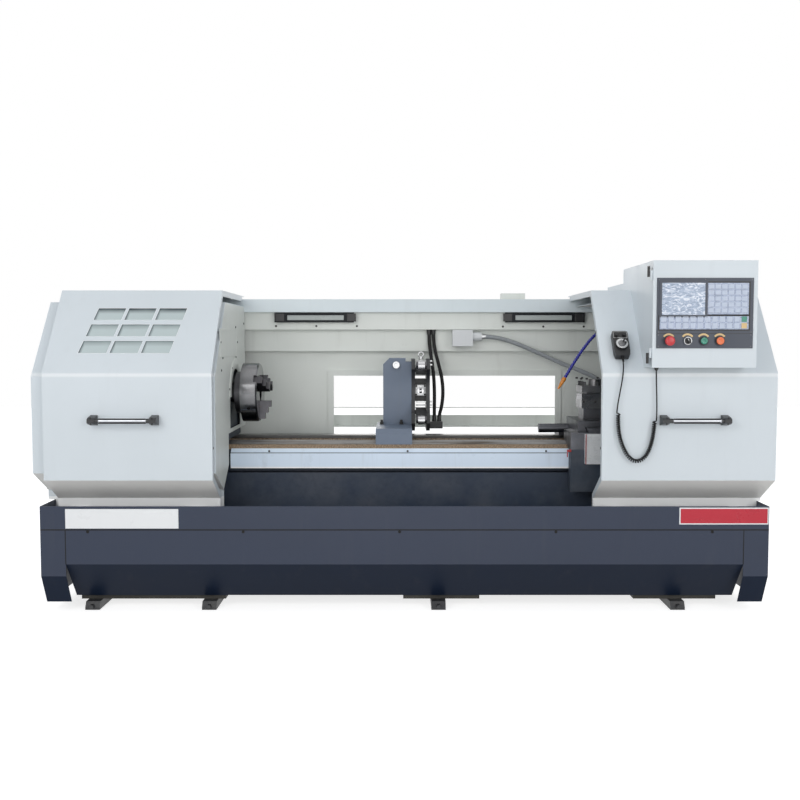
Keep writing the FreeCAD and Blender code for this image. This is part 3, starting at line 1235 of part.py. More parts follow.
tool = profile("XY", [
    (tool_left, tool_front - d.tool_nose), (tool_left + d.tool_tip, tool_front - d.tool_rake),
    (tool_left + d.tool_length, tool_front),
    (tool_left + d.tool_length, tool_front + d.tool_width),
    (tool_left + d.tool_tip, tool_front + d.tool_width),
    (tool_left, tool_front + d.tool_edge)],
    slot_low, d.tool_side)
keep("tool_turret", group([fused(*turret_parts), tool]))


# Tailstock: body, quill with its centre, and handwheel

tail_right_x = d.tail_left_x + d.tail_length
tail_base_top_z = d.way_top_z + d.tail_base_height
tail_foot = profile("YZ", [
    *on_the_ways(d.tail_base_front_y, d.tail_base_rear_y, d.gap),
    (d.tail_base_rear_y, tail_base_top_z), (d.tail_base_front_y, tail_base_top_z)],
    d.tail_left_x, d.tail_length)
tail_neck = block(d.tail_left_x + d.neck_inset, tail_right_x - d.neck_inset, d.spindle_y - d.neck_half,
                  d.spindle_y + d.neck_half, tail_base_top_z - 1, d.spindle_z)
barrel = rod("X", d.barrel_radius, d.tail_length, d.tail_left_x, d.spindle_y, d.spindle_z)
lever = rod("Z", d.lever_radius, d.lever_length, d.tail_left_x + d.lever_x,
            d.spindle_y - d.barrel_radius / 2, d.spindle_z + d.barrel_radius / 2)
quill_bore = rod("X", d.quill_radius + d.running_gap, d.quill_length + d.gap,
                 d.tail_left_x - d.quill_length * 0.2 - d.gap, d.spindle_y, d.spindle_z)
wheel_bore = rod("X", d.wheel_shaft + d.running_gap, d.tail_length, d.tail_left_x + d.neck_inset,
                 d.spindle_y, d.spindle_z)
keep("tailstock", cut(fused(tail_foot, tail_neck, barrel, lever), quill_bore, wheel_bore))
quill_left_x = d.tail_left_x - d.quill_out
keep("quill", turned("X", [
    (quill_left_x - d.centre_length, 0), (quill_left_x, d.centre_radius),
    (quill_left_x, d.quill_radius), (quill_left_x + d.quill_length, d.quill_radius),
    (quill_left_x + d.quill_length, 0)], 0, d.spindle_y, d.spindle_z))
wheel_far = d.wheel_x + d.wheel_width
shaft_left = quill_left_x + d.quill_length + d.shaft_play
hub_left = d.wheel_x - d.hub_length
rim_middle = d.wheel_radius - d.wheel_rim / 2
wheel_parts = [
    turned("X", [
        (d.wheel_x, d.wheel_radius - d.wheel_rim), (d.wheel_x, d.wheel_radius),
        (wheel_far, d.wheel_radius), (wheel_far, d.wheel_radius - d.wheel_rim)],
        0, d.spindle_y, d.spindle_z),
    turned("X", [
        (shaft_left, 0), (shaft_left, d.wheel_shaft), (hub_left, d.wheel_shaft),
        (hub_left, d.wheel_hub), (wheel_far, d.wheel_hub), (wheel_far, 0)],
        0, d.spindle_y, d.spindle_z)]
for angle in (0, 120, 240):
    spoke = profile("XZ", [
        (d.wheel_x + d.spoke_inset, d.wheel_shaft), (wheel_far - d.spoke_inset, d.wheel_shaft),
        (wheel_far - d.spoke_inset, rim_middle), (d.wheel_x + d.spoke_inset, rim_middle)],
        -d.spoke_width / 2, d.spoke_width)
    wheel_parts.append(round_the_spindle(spoke, angle))
wheel_parts.append(rod("X", d.wheel_knob_radius, d.wheel_knob_length, d.wheel_x + d.spoke_inset,
                       d.spindle_y, d.spindle_z + rim_middle))
keep("tailstock_handwheel", fused(*wheel_parts))


# Steady rest: bracket on the bed, C-shaped body, two arms, a plunger and three rollers

steady_right_x = d.steady_x + d.steady_width
steady_middle = d.steady_x + d.steady_width / 2
bracket_top_z = d.way_top_z + d.upright_base
flange_left = d.steady_x - d.flange_plate
upright_right = d.upright_left_x + d.upright_width
upright = profile("XZ", [
    (d.upright_left_x, bracket_top_z - 1), (upright_right, bracket_top_z - 1),
    (upright_right, d.upright_top_z), (d.upright_left_x + d.upright_chamfer, d.upright_top_z),
    (d.upright_left_x, d.upright_top_z - d.upright_chamfer)], d.upright_near_y,
    d.upright_depth)
bracket_base = profile("YZ", [
    *on_the_ways(d.bracket_near_y, d.bracket_far_y, 0),
    (d.bracket_far_y, bracket_top_z), (d.bracket_near_y + d.bracket_chamfer, bracket_top_z),
    (d.bracket_near_y, bracket_top_z - d.bracket_slope)], d.bracket_left_x,
    d.steady_x - d.bracket_left_x)
steady_flange = block(flange_left - 1, d.steady_x, d.upright_near_y, d.flange_far_y,
                      bracket_top_z - 1, d.flange_top_z)
big_bolt = rod("Y", d.big_bolt, d.big_bolt_head + 1,
               upright_right - d.big_bolt_inset, d.upright_near_y - d.big_bolt_head,
               d.upright_top_z - d.big_bolt_drop)
keep("steady_bracket", fused(bracket_base, upright, steady_flange, big_bolt))

plate_outline = [
    (d.steady_back_y, d.spindle_z - d.steady_low),
    (d.steady_back_y, d.spindle_z + d.steady_top - d.plate_shoulder),
    (d.steady_back_y - d.plate_slope, d.spindle_z + d.steady_top),
    (d.steady_horn_y, d.spindle_z + d.steady_top),
    (d.steady_horn_y, d.spindle_z - d.steady_top),
    (d.steady_horn_y + d.plate_toe, d.spindle_z - d.steady_low)]
throat = rod("X", d.throat_radius, d.steady_width + 2, d.steady_x - 1, d.spindle_y,
             d.spindle_z)
plates = [profile("YZ", plate_outline, x, d.steady_plate)
          for x in (d.steady_x, steady_right_x - d.steady_plate)]
cylinder = block(d.steady_x + 1, steady_right_x - 1, d.cylinder_near_y, d.steady_back_y,
                 d.spindle_z - d.cylinder_half, d.spindle_z + d.cylinder_half)
guide_plate = block(
    steady_middle - d.guide_half, steady_middle + d.guide_half,
    d.cylinder_near_y - d.guide_depth, d.cylinder_near_y + 1,
    d.spindle_z - d.guide_half, d.spindle_z + d.guide_half)
pivots = [rod("X", d.pivot_radius, d.steady_width, d.steady_x, d.pivot_y,
              d.spindle_z + side * d.pivot_up) for side in (1, -1)]
manifold = block(steady_right_x - 1, steady_right_x + d.manifold_width,
                 d.steady_back_y - d.manifold_depth, d.steady_back_y,
                 d.spindle_z - d.steady_low,
                 d.spindle_z - d.steady_low + d.manifold_height)
plunger_bore = rod("Y", d.plunger_radius + d.running_gap,
                   d.steady_back_y - d.cylinder_near_y + d.bore_lead - d.bore_floor,
                   steady_middle, d.cylinder_near_y - d.bore_lead, d.spindle_z)
keep("steady_body", cut(
    fused(cut(fused(*plates), throat), cylinder, guide_plate, manifold, *pivots),
    plunger_bore))

arm_left = steady_middle - d.arm_thickness / 2
fork_half = d.roller_width / 2 + d.fork_gap
arm_tip_y = d.pivot_y - d.arm_reach


def steady_arm(side):
    """A forked arm on its pivot; side is 1 above the spindle and -1 below."""
    pivot_z = d.spindle_z + side * d.pivot_up
    tip_z = pivot_z + side * d.arm_rise
    half = d.arm_width / 2
    bar = profile("YZ", [
        (d.pivot_y + half, pivot_z + side * d.arm_heel), (d.pivot_y, pivot_z + side * half),
        (arm_tip_y, tip_z + side * d.arm_nose), (arm_tip_y - d.arm_point, tip_z),
        (arm_tip_y, tip_z - side * d.arm_nose), (d.pivot_y, pivot_z - side * half),
        (d.pivot_y + half, pivot_z - side * d.arm_heel)], arm_left, d.arm_thickness)
    bore = rod("X", d.pivot_radius + d.running_gap, d.arm_thickness + 2, arm_left - 1,
               d.pivot_y, pivot_z)
    half_fork = d.roller_radius + d.fork_play
    fork = block(steady_middle - fork_half, steady_middle + fork_half,
                 arm_tip_y - half_fork, arm_tip_y + half_fork, tip_z - half_fork,
                 tip_z + half_fork)
    pin = rod("X", d.roller_pin, d.arm_thickness, arm_left, arm_tip_y, tip_z)
    return fused(cut(bar, bore, fork), pin)


def roller(radius, width, pin, y, z):
    wheel = rod("X", radius, width, steady_middle - width / 2, y, z)
    hole = rod("X", pin + d.running_gap, width + 2, steady_middle - width / 2 - 1, y, z)
    return cut(wheel, hole)


upper_tip_z = d.spindle_z + d.pivot_up + d.arm_rise
lower_tip_z = d.spindle_z - d.pivot_up - d.arm_rise
keep("steady_upper_arm", steady_arm(1))
keep("steady_lower_arm", steady_arm(-1))
keep("steady_upper_roller", roller(
    d.roller_radius, d.roller_width, d.roller_pin, arm_tip_y, upper_tip_z))
keep("steady_lower_roller", roller(
    d.roller_radius, d.roller_width, d.roller_pin, arm_tip_y, lower_tip_z))
plunger_rod = rod("Y", d.plunger_radius, d.plunger_length, steady_middle,
                  d.plunger_y - d.plunger_nose, d.spindle_z)
plunger_fork_half = d.small_roller_width / 2 + d.fork_gap
plunger_fork = block(
    steady_middle - plunger_fork_half, steady_middle + plunger_fork_half,
    d.plunger_y - d.plunger_nose - 1, d.plunger_y + d.small_roller + d.fork_gap,
    d.spindle_z - d.plunger_radius, d.spindle_z + d.plunger_radius)
plunger_pin = rod("X", d.plunger_pin, d.plunger_radius, steady_middle - d.plunger_radius / 2,
                  d.plunger_y, d.spindle_z)
keep("steady_plunger", group([
    fused(cut(plunger_rod, plunger_fork), plunger_pin),
    roller(d.small_roller, d.small_roller_width, d.plunger_pin, d.plunger_y, d.spindle_z)]))


# Hoses, the conduit and the pendant's curly cord

def hose(points, radius):
    """A hose through points, and a print of the tightest bend along it."""
    tube, path, radii = wire_tube(points, radius, int(SIZES["hose_sides"]))
    print("hose: diameter %.0f, tightest bend radius %.0f" % (2 * radius, min(radii)))
    return tube


gland_end_x = SIZES["box_x"] + SIZES["box_width"] + SIZES["gland_length"]
gland_middle_y = SIZES["band_y"] - SIZES["box_depth"] / 2
terminal_end_z = SIZES["saddle_top_z"] + SIZES["terminal_height"]
terminal_middle_y = SIZES["saddle_rear_y"] - SIZES["terminal_depth"] / 2
CONDUIT = [
    (gland_end_x, gland_middle_y, SIZES["gland_z"]), (510, 333, 1368), (590, 331, 1351),
    (664, 328, 1325), (737, 322, 1293), (820, 312, 1256), (898, 298, 1220),
    (973, 278, 1189), (1047, 250.5, 1158.5), (1101, 223.5, 1131.5), (1141, 204, 1091.5),
    (1169, 193, 1039.5), (1180, terminal_middle_y, 996),
    (1180, terminal_middle_y, terminal_end_z)]
keep("conduit", shaped("conduit", hose(CONDUIT, SIZES["conduit_radius"])))

COOLANT = [
    (1205, terminal_middle_y, terminal_end_z), (1205, terminal_middle_y, 1045),
    (1203, 187, 1145), (1199, 179, 1245), (1176, 150, 1345), (1118, 88, 1402),
    (1050, 20, 1384), (985, 2, 1310), (925, -2, 1220), (878, 0, 1139)]
coolant_tube = hose(COOLANT, SIZES["hose_radius"])
spout = FreeCAD.Vector(*COOLANT[-1])
spout_way = (spout - FreeCAD.Vector(*COOLANT[-2])).normalize()
collar = Part.makeCylinder(SIZES["hose_collar"], SIZES["nozzle_length"], spout, spout_way)
nozzle = Part.makeCone(SIZES["hose_radius"], SIZES["nozzle_tip"], SIZES["nozzle_length"],
                       spout + spout_way * SIZES["nozzle_length"], spout_way)
keep("coolant_hose", shaped("coolant_hose", coolant_tube.fuse([collar, nozzle])))

manifold_top_z = SIZES["spindle_z"] - SIZES["steady_low"] + SIZES["manifold_height"]
STEADY_HOSES = [
    [(150, 352, SIZES["lamp_panel_low_z"]), (150, 352, 1358), (156, 344, 1290),
     (169, 326, 1210), (178, 308, 1125), (181, 298, 1040), (180, 294, 958),
     (180, 294, manifold_top_z)],
    [(176, 352, SIZES["lamp_panel_low_z"]), (176, 352, 1360), (184, 344, 1290),
     (205, 322, 1210), (224, 302, 1130), (231, 293, 1045), (222, 291.5, 962),
     (208, 292, 920), (208, 292, manifold_top_z)]]
keep("steady_hoses", shaped("steady_hoses", Part.makeCompound(
    [hose(points, SIZES["steady_hose"]) for points in STEADY_HOSES])))


def arc_pair(first, first_way, last, last_way):
    """Two tangent arcs from one point and direction to another point and direction."""
    span = last - first
    both = span.dot(first_way + last_way)
    turn = 2 * (1 - first_way.dot(last_way))
    if turn < 1e-6:
        reach = span.Length ** 2 / (2 * both)
    else:
        reach = (math.sqrt(both * both + turn * span.Length ** 2) - both) / turn
    corner = first + first_way * reach
    far_corner = last - last_way * reach
    middle = (corner + far_corner) * 0.5
    return [smooth_arc(first, corner, middle), smooth_arc(middle, far_corner, last)]


def smooth_arc(first, corner, last):
    """The arc between two points whose tangents meet at a corner."""
    middle = (first + last) * 0.5
    height = (corner - middle).Length
    half = (last - first).Length / 2
    if height < 1e-4:
        return Part.LineSegment(first, last).toShape()
    bulge = half * math.tan(math.atan2(height, half) / 2)
    return Part.Arc(first, middle + (corner - middle) * (bulge / height), last).toShape()


def curly_cord(tail, coil, lead, ends, curls, coil_radius, wire_radius):
    """One unbroken tube: along tail, in curls along coil, then along lead. The ends are
    its directions where it starts and stops, and there it runs straight."""
    first_way, last_way = [FreeCAD.Vector(*way).normalize() for way in ends]
    route = [FreeCAD.Vector(*point) for point in tail + coil + lead]
    exits = [route[0], route[-1]]
    route[0] = route[0] + first_way * (2 * wire_radius)
    route[-1] = route[-1] - last_way * (2 * wire_radius)
    spine = Part.BSplineCurve()
    spine.interpolate(Points=route, InitialTangent=first_way, FinalTangent=last_way)
    start = spine.parameter(FreeCAD.Vector(*coil[0]))
    stop = spine.parameter(FreeCAD.Vector(*coil[-1]))
    first, last = spine.FirstParameter, spine.LastParameter
    coil_start = spine.length(first, start)
    coil_length = spine.length(start, stop)

    def spot(along):
        amount = spine.parameterAtDistance(min(max(along, 0), whole), first)
        way = spine.tangent(amount)[0]
        aside = AXES["Y"].cross(way).normalize()
        share = (along - coil_start) / coil_length
        grown = min(1, max(0, min(share, 1 - share)) * curls / 1.5)
        radius = coil_radius * grown * grown * (3 - 2 * grown)
        angle = 2 * math.pi * curls * share
        return (spine.value(amount) + aside * (radius * math.cos(angle))
                + AXES["Y"] * (radius * math.sin(angle)))

    whole = spine.length(first, last)
    stops = [coil_start * i / 8 for i in range(8)]
    stops += [coil_start + coil_length * i / (4 * curls) for i in range(4 * curls)]
    rest = whole - coil_start - coil_length
    stops += [coil_start + coil_length + rest * i / 8 for i in range(9)]
    places = [spot(along) for along in stops]
    ways = []
    for along in stops:
        behind = max(0, along - 0.05)
        ahead = min(whole, along + 0.05)
        ways.append((spot(ahead) - spot(behind)).normalize())
    ways[0] = first_way
    ways[-1] = last_way
    edges = [Part.LineSegment(exits[0], places[0]).toShape()]
    for i in range(len(places) - 1):
        edges += arc_pair(places[i], ways[i], places[i + 1], ways[i + 1])
    edges.append(Part.LineSegment(places[-1], exits[1]).toShape())
    path = Part.Wire(edges)
    ring = Part.makePolygon(ring_points(exits[0], first_way, wire_radius, 4))
    samples = [spot(coil_start + coil_length * i / (24 * curls)) for i in range(24 * curls)]
    nearest = min((samples[i] - samples[j]).Length for i in range(len(samples))
                  for j in range(i + 12, min(i + 40, len(samples))))
    print("cord: %d curls, least gap between curls %.2f" % (curls, nearest - 2 * wire_radius))
    skin = path.makePipeShell([ring])
    caps = [end_cap(skin, place, wire_radius) for place in exits]
    return Part.Solid(Part.Shell(skin.Faces + caps))


def end_cap(skin, place, radius):
    """The face over the open end of a tube at a place."""
    rim = [edge for edge in skin.Edges
           if all((corner.Point - place).Length < 1.01 * radius for corner in edge.Vertexes)]
    return Part.makeFilledFace(Part.sortEdges(rim)[0])


cord_y = SIZES["cord_y"]
door_slope_run = SIZES["door_front_y"] - SIZES["door_roof_y"]
door_slope_rise = SIZES["door_break_z"] - SIZES["door_roof_z"]
box_floor_z = SIZES["control_low_z"]
CORD_TAIL = [(1054, -604.4, 1264.5), (1054, -620, 1243), (1052, -640, 1205),
             (1046, cord_y, 1150), (1036, cord_y, 1080)]
CORD_COIL = [(1026, cord_y, 1007), (1026, cord_y, 930), (1039, cord_y, 862),
             (1072, cord_y, 790), (1114, cord_y, 762), (1160, cord_y, 783),
             (1190, cord_y, 854), (1203, cord_y, 970)]
CORD_LEAD = [(1204, cord_y, 1040), (1205, cord_y, 1130), (1205, cord_y, box_floor_z)]
down_the_slope = (0, door_slope_run, door_slope_rise)
keep("pendant_cord", shaped("pendant_cord", curly_cord(
    CORD_TAIL, CORD_COIL, CORD_LEAD, (down_the_slope, (0, 0, 1)),
    int(SIZES["cord_curls"]), SIZES["cord_coil"], SIZES["cord_wire"])))


# Each sub-part goes to a file of its own, once the whole document has come out sound

doc.recompute()
for thing in doc.Objects:
    if "Invalid" in thing.State or "Error" in thing.State:
        raise RuntimeError("%s did not recompute" % thing.Name)
for label, item in pieces:
    if item.Shape.isNull() or not item.Shape.isValid():
        raise RuntimeError("%s has no sound shape" % label)
os.makedirs("parts", exist_ok=True)
for label, item in pieces:
    item.Shape.exportStep("parts/%s.step" % label)
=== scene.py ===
"""A flat-bed turning lathe with two sliding doors: finishes, cords and fittings."""

import math

import bmesh
import bpy
from mathutils import Matrix, Vector


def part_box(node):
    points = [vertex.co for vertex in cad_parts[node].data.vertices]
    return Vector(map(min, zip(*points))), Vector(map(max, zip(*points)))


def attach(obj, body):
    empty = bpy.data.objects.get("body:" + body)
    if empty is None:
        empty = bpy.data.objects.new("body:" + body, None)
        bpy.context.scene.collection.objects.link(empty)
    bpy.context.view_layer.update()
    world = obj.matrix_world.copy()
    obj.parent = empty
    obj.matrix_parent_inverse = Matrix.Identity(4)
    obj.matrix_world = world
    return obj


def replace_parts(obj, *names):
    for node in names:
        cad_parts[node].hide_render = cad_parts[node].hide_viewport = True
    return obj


bl_info = {
    "name": "Turning Lathe Dressing",
    "version": (1, 0, 0),
    "blender": (4, 5, 0),
    "location": "View3D > Sidebar > Lathe",
    "description": "Finishes, cords and fittings for a flat-bed turning lathe",
    "category": "Object",
}

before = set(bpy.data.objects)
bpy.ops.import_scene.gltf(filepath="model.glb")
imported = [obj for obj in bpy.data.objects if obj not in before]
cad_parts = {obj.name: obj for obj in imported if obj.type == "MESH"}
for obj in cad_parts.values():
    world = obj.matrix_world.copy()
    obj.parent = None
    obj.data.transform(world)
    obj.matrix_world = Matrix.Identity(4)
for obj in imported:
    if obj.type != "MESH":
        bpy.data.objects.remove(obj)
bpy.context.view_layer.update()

# The sloping front of the doors: where it starts, up along it, and straight out of it
SLOPE_FOOT = Vector((0, -0.630, 1.191))
SLOPE_UP = Vector((0, 0.604, 0.797)).normalized()
SLOPE_OUT = Vector((0, -0.797, 0.604)).normalized()

# Routes of the cord, the conduit and the hoses, in metres
CORD_TAIL = [(1.054, -0.6044, 1.2645), (1.054, -0.620, 1.243), (1.052, -0.640, 1.205),
             (1.046, -0.650, 1.150), (1.036, -0.650, 1.080)]
CORD_COIL = [(1.026, -0.650, 1.007), (1.026, -0.650, 0.930), (1.039, -0.650, 0.862),
             (1.072, -0.650, 0.790), (1.114, -0.650, 0.762), (1.160, -0.650, 0.783),
             (1.190, -0.650, 0.854), (1.203, -0.650, 0.970)]
CORD_LEAD = [(1.204, -0.650, 1.040), (1.205, -0.650, 1.130), (1.205, -0.650, 1.219)]
CONDUIT = [(0.453, 0.333, 1.368), (0.510, 0.333, 1.368), (0.590, 0.331, 1.351),
           (0.664, 0.328, 1.325), (0.737, 0.322, 1.293), (0.820, 0.312, 1.256),
           (0.898, 0.298, 1.220), (0.973, 0.278, 1.189), (1.047, 0.2505, 1.1585),
           (1.101, 0.2235, 1.1315), (1.141, 0.204, 1.0915), (1.169, 0.193, 1.0395),
           (1.180, 0.189, 0.996), (1.180, 0.189, 0.951)]
COOLANT = [(1.205, 0.189, 0.951), (1.205, 0.189, 1.045), (1.203, 0.187, 1.145),
           (1.199, 0.179, 1.245), (1.176, 0.150, 1.345), (1.118, 0.088, 1.402),
           (1.050, 0.020, 1.384), (0.985, 0.002, 1.310), (0.925, -0.002, 1.220),
           (0.878, 0.000, 1.139)]
STEADY_HOSES = [
    [(0.150, 0.352, 1.409), (0.150, 0.352, 1.358), (0.156, 0.344, 1.290),
     (0.169, 0.326, 1.210), (0.178, 0.308, 1.125), (0.181, 0.298, 1.040),
     (0.180, 0.294, 0.958), (0.180, 0.294, 0.881)],
    [(0.176, 0.352, 1.409), (0.176, 0.352, 1.360), (0.184, 0.344, 1.290),
     (0.205, 0.322, 1.210), (0.224, 0.302, 1.130), (0.231, 0.293, 1.045),
     (0.222, 0.2915, 0.962), (0.208, 0.292, 0.920), (0.208, 0.292, 0.881)]]
# The left door's windows, up along the slope and along X, in metres
PANE_LEFT, PANE_LOW = -1.587, 0.114
PANE_WIDTH, PANE_HEIGHT = 0.143, 0.080
PANE_COLUMN, PANE_PITCH, PANE_SHIFT = 0.153, 0.1025, 0.020

# The stage: the floor's glow, the world's light, the lamps (name, place, aim, width in
# metres, watts), and the camera's lens in millimetres, place and tilt in degrees
FLOOR_GLOW, WORLD_LIGHT = 0.76, 0.45
LAMPS = [("key", (-3.2, -5.4, 3.2), (-0.2, 0.0, 0.9), 3.0, 103),
         ("fill", (3.6, -5.2, 2.4), (0.3, 0.0, 0.9), 3.0, 74),
         ("top", (0.2, -0.6, 5.0), (0.1, 0.1, 0.9), 3.6, 22),
         ("low", (0.0, -6.2, 0.5), (0.0, -0.6, 0.5), 3.0, 58),
         ("rear", (0.5, 5.0, 3.6), (0.0, 0.5, 0.9), 3.4, 90)]
LENS, CAMERA_PLACE, CAMERA_DIP = 43.2, (-0.018, -5.23, 1.345), 3.54

# The cord's coil: points to a curl, the curls' worth of easing at its ends, and the step
# at which its route is measured, in metres
CURL_POINTS = 12
EASED_CURLS = 2.0
CORD_STEP = 0.0007
# The conduit's rings, and the coolant line's beads: pitch and depth in metres, and the
# bead's share of its pitch, its rise and its neck's fall as shares of the radius
RIB_PITCH, RIB_DEPTH = 0.0052, 0.0007
BEAD_PITCH, BEAD_SHARE, BEAD_RISE, NECK_FALL = 0.0150, 0.62, 0.14, 0.10
# The faces of the operator panel and of its keys, along Y
PANEL_FACE = -0.764
KEY_BACK, KEY_FRONT = -0.7640, -0.7674
# Shares of the cover screws' radius for four other rows of screws
STRIP_SCREW, PARTITION_SCREW, BATTEN_SCREW, BASE_SCREW = 0.85, 0.9, 0.8, 1.1


def paint(red, green, blue):
    """A colour, from its values of 0 to 255 on a screen."""
    shares = [value / 255 for value in (red, green, blue)]
    return tuple(round(s / 12.92 if s <= 0.04045 else ((s + 0.055) / 1.055) ** 2.4, 4)
                 for s in shares)


def colour(name, description, red, green, blue):
    return bpy.props.FloatVectorProperty(
        name=name, description=description, subtype="COLOR", size=3, min=0, max=1,
        default=paint(red, green, blue))


def length(name, description, metres):
    return bpy.props.FloatProperty(
        name=name, description=description, default=metres, min=0, unit="LENGTH",
        subtype="DISTANCE")


class LatheColours(bpy.types.PropertyGroup):
    """Colours of the lathe's paint, plastic and metal."""

    cover: colour("Covers", "Powder coat of the doors and covers", 214, 222, 228)
    guard: colour("Rear guard", "Paint of the wall behind the work", 226, 230, 226)
    beam: colour("Beam", "Paint of the beam over the opening", 219, 229, 234)
    strip: colour("Screw cover", "Pale blue of the strip over the leadscrew", 216, 231, 248)
    base: colour("Base", "Dark blue-grey of the base and tray", 50, 58, 76)
    steady: colour("Steady rest", "Blue-grey of the steady rest's upright", 104, 116, 134)
    casting: colour("Castings", "Machine grey of headstock and apron", 56, 65, 78)
    panel: colour("Operator panel", "Slate of the operator panel's face", 70, 75, 86)
    rubber: colour("Rubber", "Black of cords, hoses and belts", 22, 22, 24)
    conduit: colour("Conduit", "Grey of the corrugated conduit", 150, 155, 160)
    coolant: colour("Coolant line", "Blue of the jointed coolant line", 28, 34, 150)
    nozzle: colour("Nozzle", "Orange of the coolant line's ends", 222, 138, 42)
    stop: colour("Stop button", "Red of the stop button", 196, 36, 44)
    start: colour("Start button", "Green of the start button", 20, 128, 106)
    hold: colour("Hold button", "Orange of the hold button", 226, 104, 42)
    plate: colour("Name plate", "White of the blank plate at the left", 236, 238, 240)
    badge: colour("Red plate", "Red of the blank plate at the right", 190, 40, 58)


class LatheSizes(bpy.types.PropertyGroup):
    """Sizes of the lathe's cords and small fittings."""

    cord: length("Cord", "Diameter of the pendant's cord", 0.0065)
    curl: length("Curl", "Radius of the cord's curls at their middle", 0.00748)
    curls: bpy.props.IntProperty(
        name="Curls", description="How many curls the pendant's cord has", default=47,
        min=8, max=80)
    conduit: length("Conduit", "Diameter of the corrugated conduit", 0.026)
    coolant: length("Coolant line", "Diameter of the jointed coolant line", 0.018)
    hose: length("Steady hoses", "Diameter of the steady rest's hoses", 0.020)
    screw: length("Screws", "Radius of the heads of the cover screws", 0.0065)


def colours():
    return bpy.context.scene.lathe_colours


def sizes():
    return bpy.context.scene.lathe_sizes


# Node trees

def node(tree, kind, inputs=None, **settings):
    """Add a node, with its settings, and give its inputs values or links."""
    made = tree.nodes.new(kind)
    for name, value in settings.items():
        setattr(made, name, value)
    for name, value in (inputs or {}).items():
        if isinstance(value, bpy.types.NodeSocket):
            tree.links.new(value, made.inputs[name])
        else:
            made.inputs[name].default_value = value
    return made


def noise(tree, place, scale, detail=4, roughness=0.55, distortion=0.0):
    return node(tree, "ShaderNodeTexNoise", {
        "Vector": place, "Scale": scale, "Detail": detail, "Roughness": roughness,
        "Distortion": distortion}).outputs["Fac"]


def ramp(tree, value, low, high, low_out=0.0, high_out=1.0):
    """Spread a value's range from low to high over another range, clamped."""
    return node(tree, "ShaderNodeMapRange", {
        "Value": value, "From Min": low, "From Max": high, "To Min": low_out,
        "To Max": high_out}).outputs["Result"]


def sum_of(tree, kind, first, second):
    """The result of one kind of sum on two values."""
    return node(tree, "ShaderNodeMath", {0: first, 1: second},
                operation=kind).outputs["Value"]


def stretched(tree, place, factors):
    """A place scaled by its own factor along each axis, to draw a pattern out."""
    return node(tree, "ShaderNodeVectorMath", {0: place, 1: factors},
                operation="MULTIPLY").outputs["Vector"]


def part_of(tree, vector, axis):
    """A vector's part along one axis."""
    return node(tree, "ShaderNodeSeparateXYZ", {"Vector": vector}).outputs[axis]


def seen_rays(tree):
    """One for the rays that look at a thing straight, by mirror or through a pane."""
    seen = node(tree, "ShaderNodeLightPath").outputs
    return sum_of(tree, "MAXIMUM", seen["Is Camera Ray"], sum_of(
        tree, "MAXIMUM", seen["Is Glossy Ray"], seen["Is Transmission Ray"]))


def rgba(tint):
    """A colour with its alpha; a colour that comes from a node stays as it is."""
    return tint if isinstance(tint, bpy.types.NodeSocket) else (*tint, 1)


def mixed(tree, share, first, second, blend="MIX"):
    """Two colours mixed by a share."""
    made = node(tree, "ShaderNodeMix", {0: share, 6: first, 7: second},
                data_type="RGBA", blend_type=blend)
    return made.outputs[2]


def shade_group(name, inputs):
    """A new shader group with these inputs; colour, roughness and height come out."""
    group = bpy.data.node_groups.new(name, "ShaderNodeTree")
    sockets = group.interface
    sockets.new_socket("Place", in_out="INPUT", socket_type="NodeSocketVector")
    sockets.new_socket("Colour", in_out="INPUT", socket_type="NodeSocketColor")
    for label, value in inputs.items():
        socket = sockets.new_socket(label, in_out="INPUT", socket_type="NodeSocketFloat")
        socket.default_value = value
    sockets.new_socket("Colour", in_out="OUTPUT", socket_type="NodeSocketColor")
    sockets.new_socket("Roughness", in_out="OUTPUT", socket_type="NodeSocketFloat")
    sockets.new_socket("Height", in_out="OUTPUT", socket_type="NodeSocketFloat")
    return group, group.nodes.new("NodeGroupInput").outputs


def group_out(group, tint, roughness, height):
    node(group, "NodeGroupOutput", {"Colour": tint, "Roughness": roughness,
                                    "Height": height})


